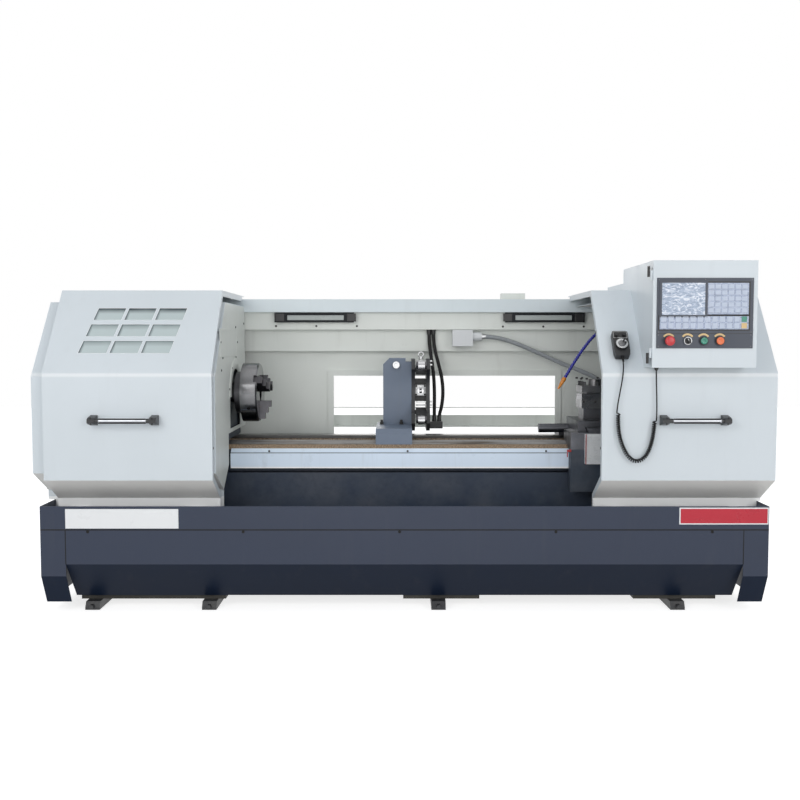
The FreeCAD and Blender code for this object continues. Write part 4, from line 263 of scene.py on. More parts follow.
def powder_coat_group():
    """Sprayed paint on sheet: orange peel, faint cloudiness, drips of dirt and scuffs."""
    group, given = shade_group("Powder Coat", {"Cloud": 0.1, "Dirt": 0.1, "Peel": 260.0,
                                               "Base Roughness": 0.4})
    place = given["Place"]
    cloud = ramp(group, noise(group, place, 1.7, 3), 0.3, 0.7)
    darker = mixed(group, 1.0, given["Colour"], (0.80, 0.81, 0.80, 1), "MULTIPLY")
    tint = mixed(group, sum_of(group, "MULTIPLY", cloud, given["Cloud"]),
                 given["Colour"], darker)
    drawn = stretched(group, place, (9.0, 9.0, 0.8))
    runs = ramp(group, noise(group, drawn, 1.6, 5, 0.6), 0.56, 0.80)
    spots = ramp(group, noise(group, place, 26.0, 8, 0.72), 0.62, 0.82)
    soil = sum_of(group, "MULTIPLY", sum_of(group, "MAXIMUM", runs, spots), given["Dirt"])
    tint = mixed(group, soil, tint, (0.16, 0.145, 0.12, 1))
    scuffed = stretched(group, place, (1.0, 1.0, 6.0))
    scuff = ramp(group, noise(group, scuffed, 14.0, 6, 0.7, 0.8), 0.66, 0.74)
    scuff = sum_of(group, "MULTIPLY", scuff, given["Dirt"])
    tint = mixed(group, sum_of(group, "MULTIPLY", scuff, 0.35), tint, (0.55, 0.55, 0.54, 1))
    smear = noise(group, place, 5.0, 5, 0.65)
    rough = sum_of(group, "ADD", given["Base Roughness"], ramp(group, smear, 0.3, 0.7,
                                                               -0.07, 0.09))
    rough = sum_of(group, "ADD", rough, sum_of(group, "MULTIPLY", scuff, 0.2))
    peel = noise(group, place, given["Peel"], 2, 0.5)
    wave = sum_of(group, "MULTIPLY", noise(group, place, 3.2, 2), 2.0)
    group_out(group, tint, rough, sum_of(group, "ADD", peel, wave))
    return group


def ground_metal_group():
    """Turned or ground metal: fine lines along one way, stains and worn bright places."""
    group, given = shade_group("Ground Metal", {"Lines X": 1.0, "Lines Y": 1.0,
                                                "Lines Z": 1.0, "Stain": 0.2,
                                                "Base Roughness": 0.3})
    place = given["Place"]
    ways = node(group, "ShaderNodeCombineXYZ", {
        "X": given["Lines X"], "Y": given["Lines Y"], "Z": given["Lines Z"]})
    along = stretched(group, place, ways.outputs["Vector"])
    lines = noise(group, along, 60.0, 6, 0.7)
    patches = noise(group, place, 7.0, 5, 0.65)
    shade = ramp(group, patches, 0.3, 0.7)
    darker = mixed(group, 1.0, given["Colour"], (0.52, 0.50, 0.47, 1), "MULTIPLY")
    tint = mixed(group, sum_of(group, "MULTIPLY", shade, given["Stain"]),
                 given["Colour"], darker)
    specks = ramp(group, noise(group, place, 90.0, 5, 0.7), 0.60, 0.72)
    specks = sum_of(group, "MULTIPLY", specks, given["Stain"])
    tint = mixed(group, specks, tint, (0.19, 0.12, 0.07, 1))
    tint = mixed(group, ramp(group, lines, 0.35, 0.65, 0.0, 0.22), tint, darker)
    rough = sum_of(group, "ADD", given["Base Roughness"],
                   ramp(group, patches, 0.3, 0.7, -0.08, 0.14))
    rough = sum_of(group, "ADD", rough, sum_of(group, "MULTIPLY", specks, 0.3))
    group_out(group, tint, rough, lines)
    return group


def cast_skin_group():
    """Castings, rubber and moulded plastic: a pebbled skin with dust in its low places."""
    group, given = shade_group("Cast Skin", {"Grain": 120.0, "Dust": 0.15,
                                             "Base Roughness": 0.55})
    place = given["Place"]
    pebble = node(group, "ShaderNodeTexVoronoi", {
        "Vector": place, "Scale": given["Grain"], "Randomness": 1.0},
        feature="F1").outputs["Distance"]
    fine = noise(group, place, 420.0, 3)
    broad = noise(group, place, 4.0, 5, 0.6)
    lighter = mixed(group, 0.35, given["Colour"], (0.42, 0.40, 0.37, 1))
    dust = sum_of(group, "MULTIPLY", ramp(group, broad, 0.40, 0.72), given["Dust"])
    tint = mixed(group, dust, given["Colour"], lighter)
    darker = mixed(group, 1.0, given["Colour"], (0.68, 0.68, 0.70, 1), "MULTIPLY")
    tint = mixed(group, ramp(group, noise(group, place, 23.0, 6, 0.7), 0.5, 0.75, 0.0, 0.5),
                 tint, darker)
    rough = sum_of(group, "ADD", given["Base Roughness"],
                   ramp(group, broad, 0.3, 0.7, -0.08, 0.12))
    height = sum_of(group, "ADD", pebble, sum_of(group, "MULTIPLY", fine, 0.5))
    group_out(group, tint, rough, height)
    return group


SKINS = {}


def skin(kind):
    makers = {"coat": powder_coat_group, "metal": ground_metal_group,
              "cast": cast_skin_group}
    if kind not in SKINS:
        SKINS[kind] = makers[kind]()
    return SKINS[kind]


def begin_finish(name):
    """A new material: its tree, its surface shader and the place on the object."""
    finish = bpy.data.materials.new(name)
    finish.use_nodes = True
    tree = finish.node_tree
    surface = tree.nodes["Principled BSDF"]
    place = node(tree, "ShaderNodeTexCoord").outputs["Object"]
    return finish, tree, surface, place


def dress(tree, surface, kind, place, tint, bump, depth, **amounts):
    """Put a skin group in front of a surface shader, with its bump."""
    group = node(tree, "ShaderNodeGroup", node_tree=skin(kind))
    tree.links.new(place, group.inputs["Place"])
    if isinstance(tint, bpy.types.NodeSocket):
        tree.links.new(tint, group.inputs["Colour"])
    else:
        group.inputs["Colour"].default_value = rgba(tint)
    for label, value in amounts.items():
        group.inputs[label.replace("_", " ").title()].default_value = value
    tree.links.new(group.outputs["Colour"], surface.inputs["Base Color"])
    tree.links.new(group.outputs["Roughness"], surface.inputs["Roughness"])
    raised = node(tree, "ShaderNodeBump", {
        "Strength": bump, "Distance": depth, "Height": group.outputs["Height"]})
    tree.links.new(raised.outputs["Normal"], surface.inputs["Normal"])
    return group


# How far a face has to look down to be under a fold, where its tint paints light or shade onto
# it, and its share of the shine there
UNDER_FOLD = (-0.10, -0.30)
UNDER_SHINE = 0.3
# How far the metal and the plastic of a grip run into each other, in metres
GRIP_SOFT = 0.002


def coated(name, tint, cloud=0.25, dirt=0.12, peel=260.0, roughness=0.38, bump=0.12,
           shine=0.4, under=None, bands=()):
    """Powder-coated or sprayed sheet metal, with tint bands at some heights and a tint on
    faces under folds; these paint highlights, light and shade onto it, and a band can also be
    a dark seam line.
    """
    finish, tree, surface, place = begin_finish(name)
    height = part_of(tree, place, "Z")
    # Each band paints one tint at one height: a painted highlight, painted light on a shaded
    # strip, or a dark seam line.
    for level, half, fade, shade in bands:
        apart = sum_of(tree, "ABSOLUTE", sum_of(tree, "SUBTRACT", height, level), 0.0)
        tint = mixed(tree, ramp(tree, apart, half, half - fade), rgba(tint), rgba(shade))
    # Painted light and shade: faces that look down under a fold take the under tint, a lighter
    # one to light them and a darker one to shade them.
    if under:
        facing = node(tree, "ShaderNodeNewGeometry").outputs["Normal"]
        upward = part_of(tree, facing, "Z")
        painted_fold_shading = ramp(tree, upward, *UNDER_FOLD)
        tint = mixed(tree, painted_fold_shading, rgba(tint), rgba(under))
    dress(tree, surface, "coat", place, tint, bump, 0.0006, cloud=cloud, dirt=dirt,
          peel=peel, base_roughness=roughness)
    surface.inputs["Specular IOR Level"].default_value = shine
    if under:
        tree.links.new(ramp(tree, upward, *UNDER_FOLD, shine, UNDER_SHINE * shine),
                       surface.inputs["Specular IOR Level"])
    return finish


def metal(name, tint, lines=(1, 1, 1), stain=0.2, roughness=0.3, bump=0.12):
    """Bare metal with its working lines drawn out along one way."""
    finish, tree, surface, place = begin_finish(name)
    dress(tree, surface, "metal", place, tint, bump, 0.0004, lines_x=lines[0],
          lines_y=lines[1], lines_z=lines[2], stain=stain, base_roughness=roughness)
    surface.inputs["Metallic"].default_value = 1.0
    return finish


def moulded(name, tint, grain=160.0, dust=0.15, roughness=0.5, bump=0.15, coat=0.0,
            shine=0.4):
    """Rubber, plastic or painted casting with a pebbled skin."""
    finish, tree, surface, place = begin_finish(name)
    dress(tree, surface, "cast", place, tint, bump, 0.0005, grain=grain, dust=dust,
          base_roughness=roughness)
    surface.inputs["Coat Weight"].default_value = coat
    surface.inputs["Specular IOR Level"].default_value = shine
    return finish


def banded(name, low, high, inner, outer):
    """A round-bar metal between two places along X, and black plastic outside them."""
    finish, tree, surface, place = begin_finish(name)
    along = part_of(tree, place, "X")
    after = ramp(tree, along, low - GRIP_SOFT, low + GRIP_SOFT)
    before = ramp(tree, along, high - GRIP_SOFT, high + GRIP_SOFT, 1.0, 0.0)
    middle = sum_of(tree, "MULTIPLY", after, before)
    tint = mixed(tree, middle, rgba(outer), rgba(inner))
    dress(tree, surface, "cast", place, tint, 0.08, 0.0003, grain=240.0, dust=0.08,
          base_roughness=0.32)
    tree.links.new(middle, surface.inputs["Metallic"])
    return finish


def bed_finish(name, casting):
    """A bed casting: painted sides, and ways that are ground bright and oiled on top."""
    finish, tree, surface, place = begin_finish(name)
    facing = node(tree, "ShaderNodeNewGeometry").outputs["Normal"]
    upward = part_of(tree, facing, "Z")
    height = part_of(tree, place, "Z")
    top = sum_of(tree, "MULTIPLY", ramp(tree, upward, 0.25, 0.4),
                 ramp(tree, height, 0.790, 0.795))
    edge = ramp(tree, height, 0.796, 0.799)
    ground = sum_of(tree, "MAXIMUM", top, edge)
    forward = part_of(tree, facing, "Y")
    front = sum_of(tree, "MULTIPLY", ramp(tree, forward, -0.8, -0.9),
                   sum_of(tree, "MULTIPLY", ramp(tree, height, 0.772, 0.776),
                          ramp(tree, height, 0.804, 0.800)))
    drawn = stretched(tree, place, (0.6, 12.0, 12.0))
    oil = ramp(tree, noise(tree, drawn, 5.0, 5, 0.6), 0.46, 0.68)
    steel = mixed(tree, oil, rgba(paint(112, 112, 112)), rgba(paint(70, 64, 58)))
    rust = mixed(tree, ramp(tree, noise(tree, place, 160.0, 6, 0.75), 0.42, 0.60),
                 rgba(paint(98, 80, 62)), rgba(paint(168, 146, 120)))
    bare = mixed(tree, ground, rgba(casting), steel)
    tint = mixed(tree, front, bare, rust)
    ground = sum_of(tree, "MULTIPLY", ground, sum_of(tree, "SUBTRACT", 1.0, front))
    group = dress(tree, surface, "cast", place, tint, 0.15, 0.0005, grain=140.0, dust=0.3,
                  base_roughness=0.5)
    surface.inputs["Specular IOR Level"].default_value = 0.3
    rough = node(tree, "ShaderNodeMix", {
        "Factor": ground, "A": group.outputs["Roughness"], "B": 0.3}).outputs["Result"]
    tree.links.new(rough, surface.inputs["Roughness"])
    tree.links.new(ground, surface.inputs["Metallic"])
    return finish


def clear_pane(name, tint, shadow):
    """Dusty acrylic in the leaning windows, with painted shade at their top and left edges,
    strongest in the top row.
    """
    finish, tree, surface, place = begin_finish(name)
    rise = node(tree, "ShaderNodeVectorMath", {0: place, 1: tuple(SLOPE_UP)},
                operation="DOT_PRODUCT").outputs["Value"]
    start = SLOPE_FOOT.dot(SLOPE_UP) + PANE_LOW
    rise = sum_of(tree, "SUBTRACT", rise, start)
    drift = sum_of(tree, "MULTIPLY", rise, PANE_SHIFT / PANE_PITCH)
    across = sum_of(tree, "SUBTRACT", part_of(tree, place, "X"), PANE_LEFT)
    across = sum_of(tree, "SUBTRACT", across, drift)
    column = sum_of(tree, "FRACT", sum_of(tree, "DIVIDE", across, PANE_COLUMN), 0.0)
    row = sum_of(tree, "FRACT", sum_of(tree, "DIVIDE", rise, PANE_PITCH), 0.0)
    # Painted shade: darker towards each pane's left and top edges, and darkest in the top row,
    # as if cast by the recess.
    left = ramp(tree, column, 0.02, 0.11, 0.75, 0.0)
    high = ramp(tree, row, 0.45, 0.72, 0.0, 0.95)
    high = sum_of(tree, "MULTIPLY", high, ramp(tree, rise, 2 * PANE_PITCH - 0.01,
                                               2 * PANE_PITCH + 0.01, 0.42, 1.0))
    shade = sum_of(tree, "MAXIMUM", left, high)
    soft = ramp(tree, noise(tree, place, 9.0, 4), 0.3, 0.7, 0.8, 1.1)
    tinted = mixed(tree, sum_of(tree, "MULTIPLY", shade, soft), rgba(tint), rgba(shadow))
    dress(tree, surface, "coat", place, tinted, 0.03, 0.0003, cloud=0.4, dirt=0.06,
          peel=90.0, base_roughness=0.16)
    surface.inputs["Transmission Weight"].default_value = 0.15
    surface.inputs["IOR"].default_value = 1.49
    return finish


def filmed(name, tint, shine):
    """A lit face under a crinkled protecting film: painted highlights on the folds' crests and
    painted shade in their hollows, over a pale ground.
    """
    finish, tree, surface, place = begin_finish(name)
    drawn = stretched(tree, place, (1.0, 1.0, 2.2))
    folds = noise(tree, drawn, 24.0, 6, 0.62, 2.4)
    # Painted highlights where the folds rise and painted shade where they sink, in the base
    # colour; shine sets the painted highlights' strength here.
    bright = ramp(tree, folds, 0.52, 0.60)
    dark = ramp(tree, folds, 0.47, 0.42)
    shade = mixed(tree, sum_of(tree, "MULTIPLY", dark, 0.55), rgba(tint),
                  rgba(paint(96, 112, 138)))
    light = mixed(tree, sum_of(tree, "MULTIPLY", bright, shine), shade, (0.93, 0.95, 1, 1))
    dress(tree, surface, "coat", place, light, 0.05, 0.0003, cloud=0.2, dirt=0.02,
          peel=200.0, base_roughness=0.16)
    raised = node(tree, "ShaderNodeBump", {"Strength": 0.35, "Distance": 0.002,
                                           "Height": folds})
    tree.links.new(raised.outputs["Normal"], surface.inputs["Normal"])
    surface.inputs["Coat Weight"].default_value = 0.6
    surface.inputs["Coat Roughness"].default_value = 0.08
    return finish


def glowing(name, tint, strength):
    """A lamp's diffuser: frosted, with a faint light of its own."""
    finish, tree, surface, place = begin_finish(name)
    dress(tree, surface, "coat", place, tint, 0.05, 0.0003, cloud=0.3, dirt=0.1,
          peel=400.0, base_roughness=0.3)
    surface.inputs["Emission Color"].default_value = rgba(tint)
    surface.inputs["Emission Strength"].default_value = strength
    return finish


FINISHES = {}


def finishes():
    """Every finish of the lathe, made once from its colours."""
    if FINISHES:
        return FINISHES
    tints = colours()
    made = {
        # Painted light on the covers: the under tint lightens the down-facing slopes in the
        # tray rim's shade, and the band at 0.500 lightens the foot strip in the door
        # overhang's shade. The band at 1.180 is a painted highlight along the fold, and it
        # runs round every part with this finish at that height.
        "cover_coat": coated("cover_coat", tints.cover, 0.28, 0.05,
                             under=paint(244, 243, 240),
                             bands=[(0.500, 0.0562, 0.002, paint(250, 251, 252)),
                                    (1.180, 0.0130, 0.009, paint(232, 237, 241))]),
        "guard_coat": coated("guard_coat", tints.guard, 0.5, 0.14),
        "beam_coat": coated("beam_coat", tints.beam, 0.4, 0.06),
        # On the screw cover, the band at 0.758 is a dark seam line, and the band at 0.679 is a
        # painted highlight along the strip's lower edge.
        "strip_coat": coated("strip_coat", tints.strip, 0.5, 0.20, roughness=0.3,
                             bands=[(0.7580, 0.0030, 0.001, paint(120, 130, 140)),
                                    (0.6790, 0.0070, 0.001, paint(250, 252, 253))]),
        # Painted shade on the base: the under tint darkens the faces that look down, such as
        # the lower skirts.
        "base_coat": coated("base_coat", tints.base, 0.3, 0.05, roughness=0.36, shine=0.3,
                            under=paint(26, 36, 54)),
        "steady_coat": coated("steady_coat", tints.steady, 0.5, 0.2, 180.0, 0.42, 0.3),
        "casting_paint": moulded("casting_paint", tints.casting, 110.0, 0.3, 0.5, 0.25,
                                 shine=0.25),
        "panel_face": coated("panel_face", tints.panel, 0.2, 0.04, 420.0, 0.42),
        "black_paint": moulded("black_paint", paint(44, 46, 50), 130.0, 0.4, 0.42, 0.25),
        "black_plastic": moulded("black_plastic", paint(27, 28, 31), 320.0, 0.10, 0.38,
                                 0.12, 0.1),
        "rubber": moulded("rubber", tints.rubber, 380.0, 0.08, 0.5, 0.2, shine=0.2),
        "bolt_black": moulded("bolt_black", paint(30, 30, 33), 300.0, 0.3, 0.35, 0.15),
        "conduit_grey": moulded("conduit_grey", tints.conduit, 500.0, 0.30, 0.36, 0.1, 0.3),
        "coolant_blue": moulded("coolant_blue", tints.coolant, 420.0, 0.08, 0.32, 0.08,
                                0.3),
        "nozzle_orange": moulded("nozzle_orange", tints.nozzle, 420.0, 0.08, 0.32, 0.08,
                                 0.3),
        "stop_red": moulded("stop_red", tints.stop, 500.0, 0.04, 0.28, 0.05, 0.4),
        "start_green": moulded("start_green", tints.start, 500.0, 0.04, 0.28, 0.05, 0.4),
        "hold_orange": moulded("hold_orange", tints.hold, 500.0, 0.04, 0.28, 0.05, 0.4),
        "motor_paint": moulded("motor_paint", paint(70, 84, 110), 150.0, 0.4, 0.45, 0.25),
        "box_grey": coated("box_grey", paint(214, 217, 220), 0.25, 0.08, 500.0, 0.4),
        "lamp_case": coated("lamp_case", paint(26, 29, 33), 0.3, 0.06, 300.0, 0.4, shine=0.15),
        "lamp_lens": glowing("lamp_lens", paint(160, 167, 166), 0.02),
        "chuck_steel": metal("chuck_steel", paint(122, 123, 126), (9, 0.4, 0.4), 0.35, 0.15),
        "dark_steel": metal("dark_steel", paint(84, 84, 88), (1, 1, 1), 0.4, 0.34, 0.25),
        "tool_steel": metal("tool_steel", paint(122, 123, 126), (1, 1, 6), 0.4, 0.28, 0.2),
        "turned_steel": metal("turned_steel", paint(186, 187, 190), (8, 0.5, 0.5), 0.25,
                              0.26),
        "chrome": metal("chrome", paint(196, 199, 203), (0.4, 8, 8), 0.05, 0.14, 0.03),
        "zinc": metal("zinc", paint(196, 198, 200), (1, 1, 1), 0.12, 0.34, 0.1),
        "cast_iron": metal("cast_iron", paint(104, 104, 107), (1, 1, 1), 0.6, 0.44, 0.3),
        "ribs": coated("ribs", paint(222, 224, 226), 0.3, 0.12, 300.0, 0.26, shine=0.7),
        "bed_metal": bed_finish("bed_metal", paint(44, 55, 72)),
        "slide_metal": metal("slide_metal", paint(98, 100, 106), (1, 6, 1), 0.5, 0.36,
                             0.25),
        "pedestal_grey": moulded("pedestal_grey", paint(54, 53, 50), 110.0, 0.3, 0.5, 0.25,
                                 shine=0.2),
        # The panes' own tint, then the colour of their painted shade.
        "window": clear_pane("window", paint(202, 216, 218), paint(62, 76, 84)),
        # The window gaskets' near-white is a painted highlight: it stands in for the lit rim
        # round each pane.
        "gasket_painted_highlight": moulded("gasket_painted_highlight", paint(230, 235, 239), 300.0, 0.1, 0.45, 0.1),
        # For the screen and the key film, the last number is the strength of the painted
        # highlights on the film's folds.
        "screen": filmed("screen", paint(148, 166, 192), 0.62),
        "key_film": filmed("key_film", paint(146, 160, 188), 0.12),
        "key_cap": coated("key_cap", paint(190, 200, 218), 0.3, 0.04, 500.0, 0.35),
        "label_tan": coated("label_tan", paint(218, 190, 140), 0.2, 0.05, 500.0, 0.45),
        "plate_white": coated("plate_white", tints.plate, 0.15, 0.04, 500.0, 0.3),
        "badge_red": coated("badge_red", tints.badge, 0.2, 0.04, 500.0, 0.3),
        "wiper_red": moulded("wiper_red", paint(176, 48, 50), 260.0, 0.2, 0.5, 0.2),
        "left_grip": banded("left_grip", -1.452, -1.226, paint(178, 181, 186),
                            paint(30, 31, 34)),
        "right_grip": banded("right_grip", 1.282, 1.510, paint(178, 181, 186),
                             paint(30, 31, 34)),
    }
    FINISHES.update(made)
    return FINISHES


NODE_FINISH = {
    "apron": "casting_paint", "base_skirts": "base_coat", "base_tray": "base_coat",
    "bed": "bed_metal", "chuck_body": "chuck_steel", "chuck_jaw_1": "dark_steel",
    "chuck_jaw_2": "dark_steel", "chuck_jaw_3": "dark_steel",
    "chuck_partition": "guard_coat", "conduit": "conduit_grey",
    "control_box": "cover_coat", "control_panel": "panel_face",
    "control_panel_door": "cover_coat", "coolant_hose": "coolant_blue",
    "cross_slide": "slide_metal", "cross_slide_cover": "ribs", "door_beam": "beam_coat",
    "drive_belt": "rubber", "electrical_cabinet": "cover_coat",
    "emergency_stop": "stop_red", "end_panels": "base_coat",
    "headstock": "casting_paint", "headstock_cover": "cover_coat",
    "hold_button": "hold_orange", "junction_box": "box_grey", "left_door": "cover_coat",
    "left_door_glass": "window", "left_door_handle": "left_grip",
    "levelling_feet": "black_paint", "main_motor": "motor_paint",
    "mode_selector": "black_plastic", "motor_pulley": "cast_iron",
    "pedestals": "pedestal_grey", "pendant": "black_plastic", "pendant_cord": "rubber",
    "pendant_dial": "black_plastic", "quill": "turned_steel", "rear_guard": "guard_coat",
    "right_door": "cover_coat", "right_door_handle": "right_grip",
    "saddle": "slide_metal", "screw_cover": "strip_coat", "spindle": "dark_steel",
    "spindle_pulley": "cast_iron", "start_button": "start_green",
    "steady_body": "black_paint", "steady_bracket": "steady_coat",
    "steady_hoses": "rubber", "steady_lower_arm": "dark_steel",
    "steady_lower_roller": "turned_steel", "steady_plunger": "turned_steel",
    "steady_upper_arm": "dark_steel", "steady_upper_roller": "turned_steel",
    "tailstock": "casting_paint", "tailstock_cover": "cover_coat",
    "tailstock_handwheel": "chrome", "tool_turret": "tool_steel",
    "work_lamps": "lamp_case", "z_screw": "turned_steel",
    "z_servo_motor": "black_paint",
}


# Modelling

def deselect():
    bpy.ops.object.select_all(action="DESELECT")


def use(piece):
    """Select one piece alone and make it the active one."""
    deselect()
    piece.select_set(True)
    bpy.context.view_layer.objects.active = piece


def settle(piece):
    """Put a piece's place into its mesh, with its object at the origin."""
    use(piece)
    bpy.ops.object.transform_apply(location=True, rotation=True, scale=True)


def block(name, low, high, edge=0.0, segments=2):
    """A block between two corners, with its edges rounded."""
    deselect()
    middle = [(a + b) / 2 for a, b in zip(low, high)]
    span = [b - a for a, b in zip(low, high)]
    bpy.ops.mesh.primitive_cube_add(size=1, location=middle, scale=span)
    piece = bpy.context.object
    piece.name = name
    settle(piece)
    if edge:
        bpy.ops.object.mode_set(mode="EDIT")
        bpy.ops.mesh.select_all(action="SELECT")
        bpy.ops.mesh.bevel(offset=edge, segments=segments, affect="EDGES")
        bpy.ops.object.mode_set(mode="OBJECT")
    return piece


TURNS = {"X": (0, math.pi / 2, 0), "Y": (math.pi / 2, 0, 0), "Z": (0, 0, 0)}


def disc(name, centre, axis, radius, depth, sides=32):
    """A round blank about a centre; its ends face along the axis."""
    deselect()
    bpy.ops.mesh.primitive_cylinder_add(vertices=sides, radius=radius, depth=depth,
                                        location=centre, rotation=TURNS[axis])
    piece = bpy.context.object
    piece.name = name
    settle(piece)
    return piece


def pick(piece, test):
    """In edit mode, select only the faces whose middle and normal pass a test."""
    bpy.ops.mesh.select_all(action="DESELECT")
    bpy.ops.mesh.select_mode(type="FACE")
    form = bmesh.from_edit_mesh(piece.data)
    for face in form.faces:
        face.select = test(face.calc_center_median(), face.normal)
    bmesh.update_edit_mesh(piece.data)


def dish(piece, way, inset, sink):
    """Inset the end faces that look one way, and sink them by a depth (or raise them)."""
    use(piece)
    way = Vector(way)
    bpy.ops.object.mode_set(mode="EDIT")
    pick(piece, lambda middle, normal: normal.dot(way) > 0.95)
    bpy.ops.mesh.inset(thickness=inset, depth=0)
    if sink:
        bpy.ops.mesh.extrude_region_move(
            TRANSFORM_OT_translate={"value": tuple(-sink * part for part in way)})
    bpy.ops.object.mode_set(mode="OBJECT")
    return piece


def rounded(piece, width, segments=2, angle=35):
    """Round the sharp edges of a piece, and shade it smooth between them."""
    use(piece)
    bevel = piece.modifiers.new("edges", "BEVEL")
    bevel.width = width
    bevel.segments = segments
    bevel.angle_limit = math.radians(angle)
    bpy.ops.object.modifier_apply(modifier=bevel.name)
    bpy.ops.object.shade_smooth_by_angle(angle=math.radians(40))
    return piece


def spread(master, name, places):
    """Copies of one piece, each with its own mesh, shifted to their places and joined."""
    copies = []
    for place in places:
        twin = master.copy()
        twin.data = master.data.copy()
        bpy.context.collection.objects.link(twin)
        twin.location = Vector(place)
        copies.append(twin)
    bpy.data.objects.remove(master)
    return joined(copies, name)


def joined(pieces, name):
    deselect()
    for piece in pieces:
        piece.select_set(True)
    bpy.context.view_layer.objects.active = pieces[0]
    if len(pieces) > 1:
        bpy.ops.object.join()
    piece = bpy.context.object
    piece.name = name
    settle(piece)
    return piece


def laid(piece, matrix):
    """Turn and move a piece that was drawn at the origin, into its mesh."""
    piece.matrix_world = matrix
    settle(piece)
    return piece


def on_slope(x, up):
    """The matrix that takes a piece drawn flat, with +Y up, to a place on the slope."""
    place = SLOPE_FOOT + SLOPE_UP * up
    return Matrix((
        (1, SLOPE_UP.x, SLOPE_OUT.x, x + place.x),
        (0, SLOPE_UP.y, SLOPE_OUT.y, place.y),
        (0, SLOPE_UP.z, SLOPE_OUT.z, place.z), (0, 0, 0, 1)))


def standing(x, y, z):
    """The matrix that stands a piece drawn flat upright, with its face to the operator."""
    return Matrix(((1, 0, 0, x), (0, 0, -1, y), (0, 1, 0, z), (0, 0, 0, 1)))


def fit(piece, finish, body):
    """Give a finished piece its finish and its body."""
    piece.data.materials.clear()
    piece.data.materials.append(finishes()[finish])
    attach(piece, body)
    return piece


def screw_head(name, centre, way, radius, height):
    """A socket screw's head that looks along one signed axis, such as -Y."""
    sign = 1 if way[0] == "+" else -1
    facing = Vector([sign * (axis == way[1]) for axis in "XYZ"])
    head = disc(name, Vector(centre) + facing * (height / 2), way[1], radius, height, 18)
    dish(head, facing, radius * 0.48, height * 0.55)
    return rounded(head, radius * 0.12, 2, 50)


def screws(name, places, way, radius, height, finish="bolt_black", body="frame"):
    """A row of like screws at these places."""
    master = screw_head(name, (0, 0, 0), way, radius, height)
    return fit(spread(master, name, places), finish, body)


# Cords

def route_curve(name, points, diameter):
    """A smooth cord along its route: one open spline with the points as its controls."""
    line = bpy.data.curves.new(name, "CURVE")
    line.dimensions = "3D"
    line.resolution_u = 12
    spline = line.splines.new("NURBS")
    spline.points.add(len(points) - 1)
    for point, place in zip(spline.points, points):
        point.co = (*place, 1)
    spline.order_u = 3
    spline.use_endpoint_u = True
    line.bevel_depth = diameter / 2
    line.bevel_resolution = 6
    line.use_fill_caps = True
    piece = bpy.data.objects.new(name, line)
    bpy.context.collection.objects.link(piece)
    return piece


def route_line(points):
    """The smooth line of a route, as points read from its spline."""
    piece = route_curve("route", points, 0)
    piece.data.resolution_u = 24
    mesh = bpy.data.meshes.new_from_object(piece)
    line = [vertex.co.copy() for vertex in mesh.vertices]
    bpy.data.meshes.remove(mesh)
    bpy.data.objects.remove(piece)
    return line


def evenly(line, step):
    """Places along a line at even steps, each with its direction and its way along."""
    reaches = [0.0]
    for first, second in zip(line, line[1:]):
        reaches.append(reaches[-1] + (second - first).length)
    count = max(2, round(reaches[-1] / step))
    stations = []
    part = 0
    for i in range(count + 1):
        along = reaches[-1] * i / count
        while part < len(line) - 2 and reaches[part + 1] < along:
            part += 1
        run = max(reaches[part + 1] - reaches[part], 1e-9)
        share = (along - reaches[part]) / run
        stations.append((line[part].lerp(line[part + 1], share), along))
    ways = []
    for i in range(len(stations)):
        before = stations[max(0, i - 1)][0]
        after = stations[min(len(stations) - 1, i + 1)][0]
        ways.append((after - before).normalized())
    return [(place, way, along) for (place, along), way in zip(stations, ways)], reaches[-1]


def tube(name, line, step, radius_at, sides=16):
    """A tube along a line, whose radius follows the way along it."""
    stations, _ = evenly(line, step)
    form = bmesh.new()
    side = stations[0][1].orthogonal().normalized()
    rings = []
    for place, way, along in stations:
        side = (side - way * side.dot(way)).normalized()
        other = way.cross(side)
        radius = radius_at(along)
        ring = []
        for i in range(sides):
            angle = 2 * math.pi * i / sides
            ring.append(form.verts.new(
                place + (side * math.cos(angle) + other * math.sin(angle)) * radius))
        rings.append(ring)
    for near, far in zip(rings, rings[1:]):
        for i in range(sides):
            j = (i + 1) % sides
            form.faces.new((near[i], near[j], far[j], far[i]))
    form.faces.new(list(reversed(rings[0])))
    form.faces.new(rings[-1])
    bmesh.ops.recalc_face_normals(form, faces=form.faces)
    mesh = bpy.data.meshes.new(name)
    form.to_mesh(mesh)
    form.free()
    piece = bpy.data.objects.new(name, mesh)
    bpy.context.collection.objects.link(piece)
    use(piece)
    bpy.ops.object.shade_smooth_by_angle(angle=math.radians(50))
    return piece, [list(place) for place, _, _ in stations]


def turned(name, start, way, profile, sides=32):
    """A round piece drawn out of a disc: each step is a distance along and a radius."""
    deselect()
    bpy.ops.mesh.primitive_circle_add(vertices=sides, radius=profile[0][1],
                                      fill_type="NGON", location=(0, 0, profile[0][0]))
    piece = bpy.context.object
    piece.name = name
    settle(piece)
    bpy.ops.object.mode_set(mode="EDIT")
    bpy.ops.mesh.select_all(action="SELECT")
    for (here, radius), (there, wider) in zip(profile, profile[1:]):
        bpy.ops.mesh.extrude_region_move(
            TRANSFORM_OT_translate={"value": (0, 0, there - here)})
        share = wider / radius
        bpy.ops.transform.resize(value=(share, share, 1), center_override=(0, 0, there))
    bpy.ops.mesh.select_all(action="SELECT")
    bpy.ops.mesh.normals_make_consistent(inside=False)
    bpy.ops.object.mode_set(mode="OBJECT")
    turn = Vector(way).to_track_quat("Z", "Y").to_matrix().to_4x4()
    laid(piece, Matrix.Translation(Vector(start)) @ turn)
    use(piece)
    bpy.ops.object.shade_smooth_by_angle(angle=math.radians(35))
    return piece


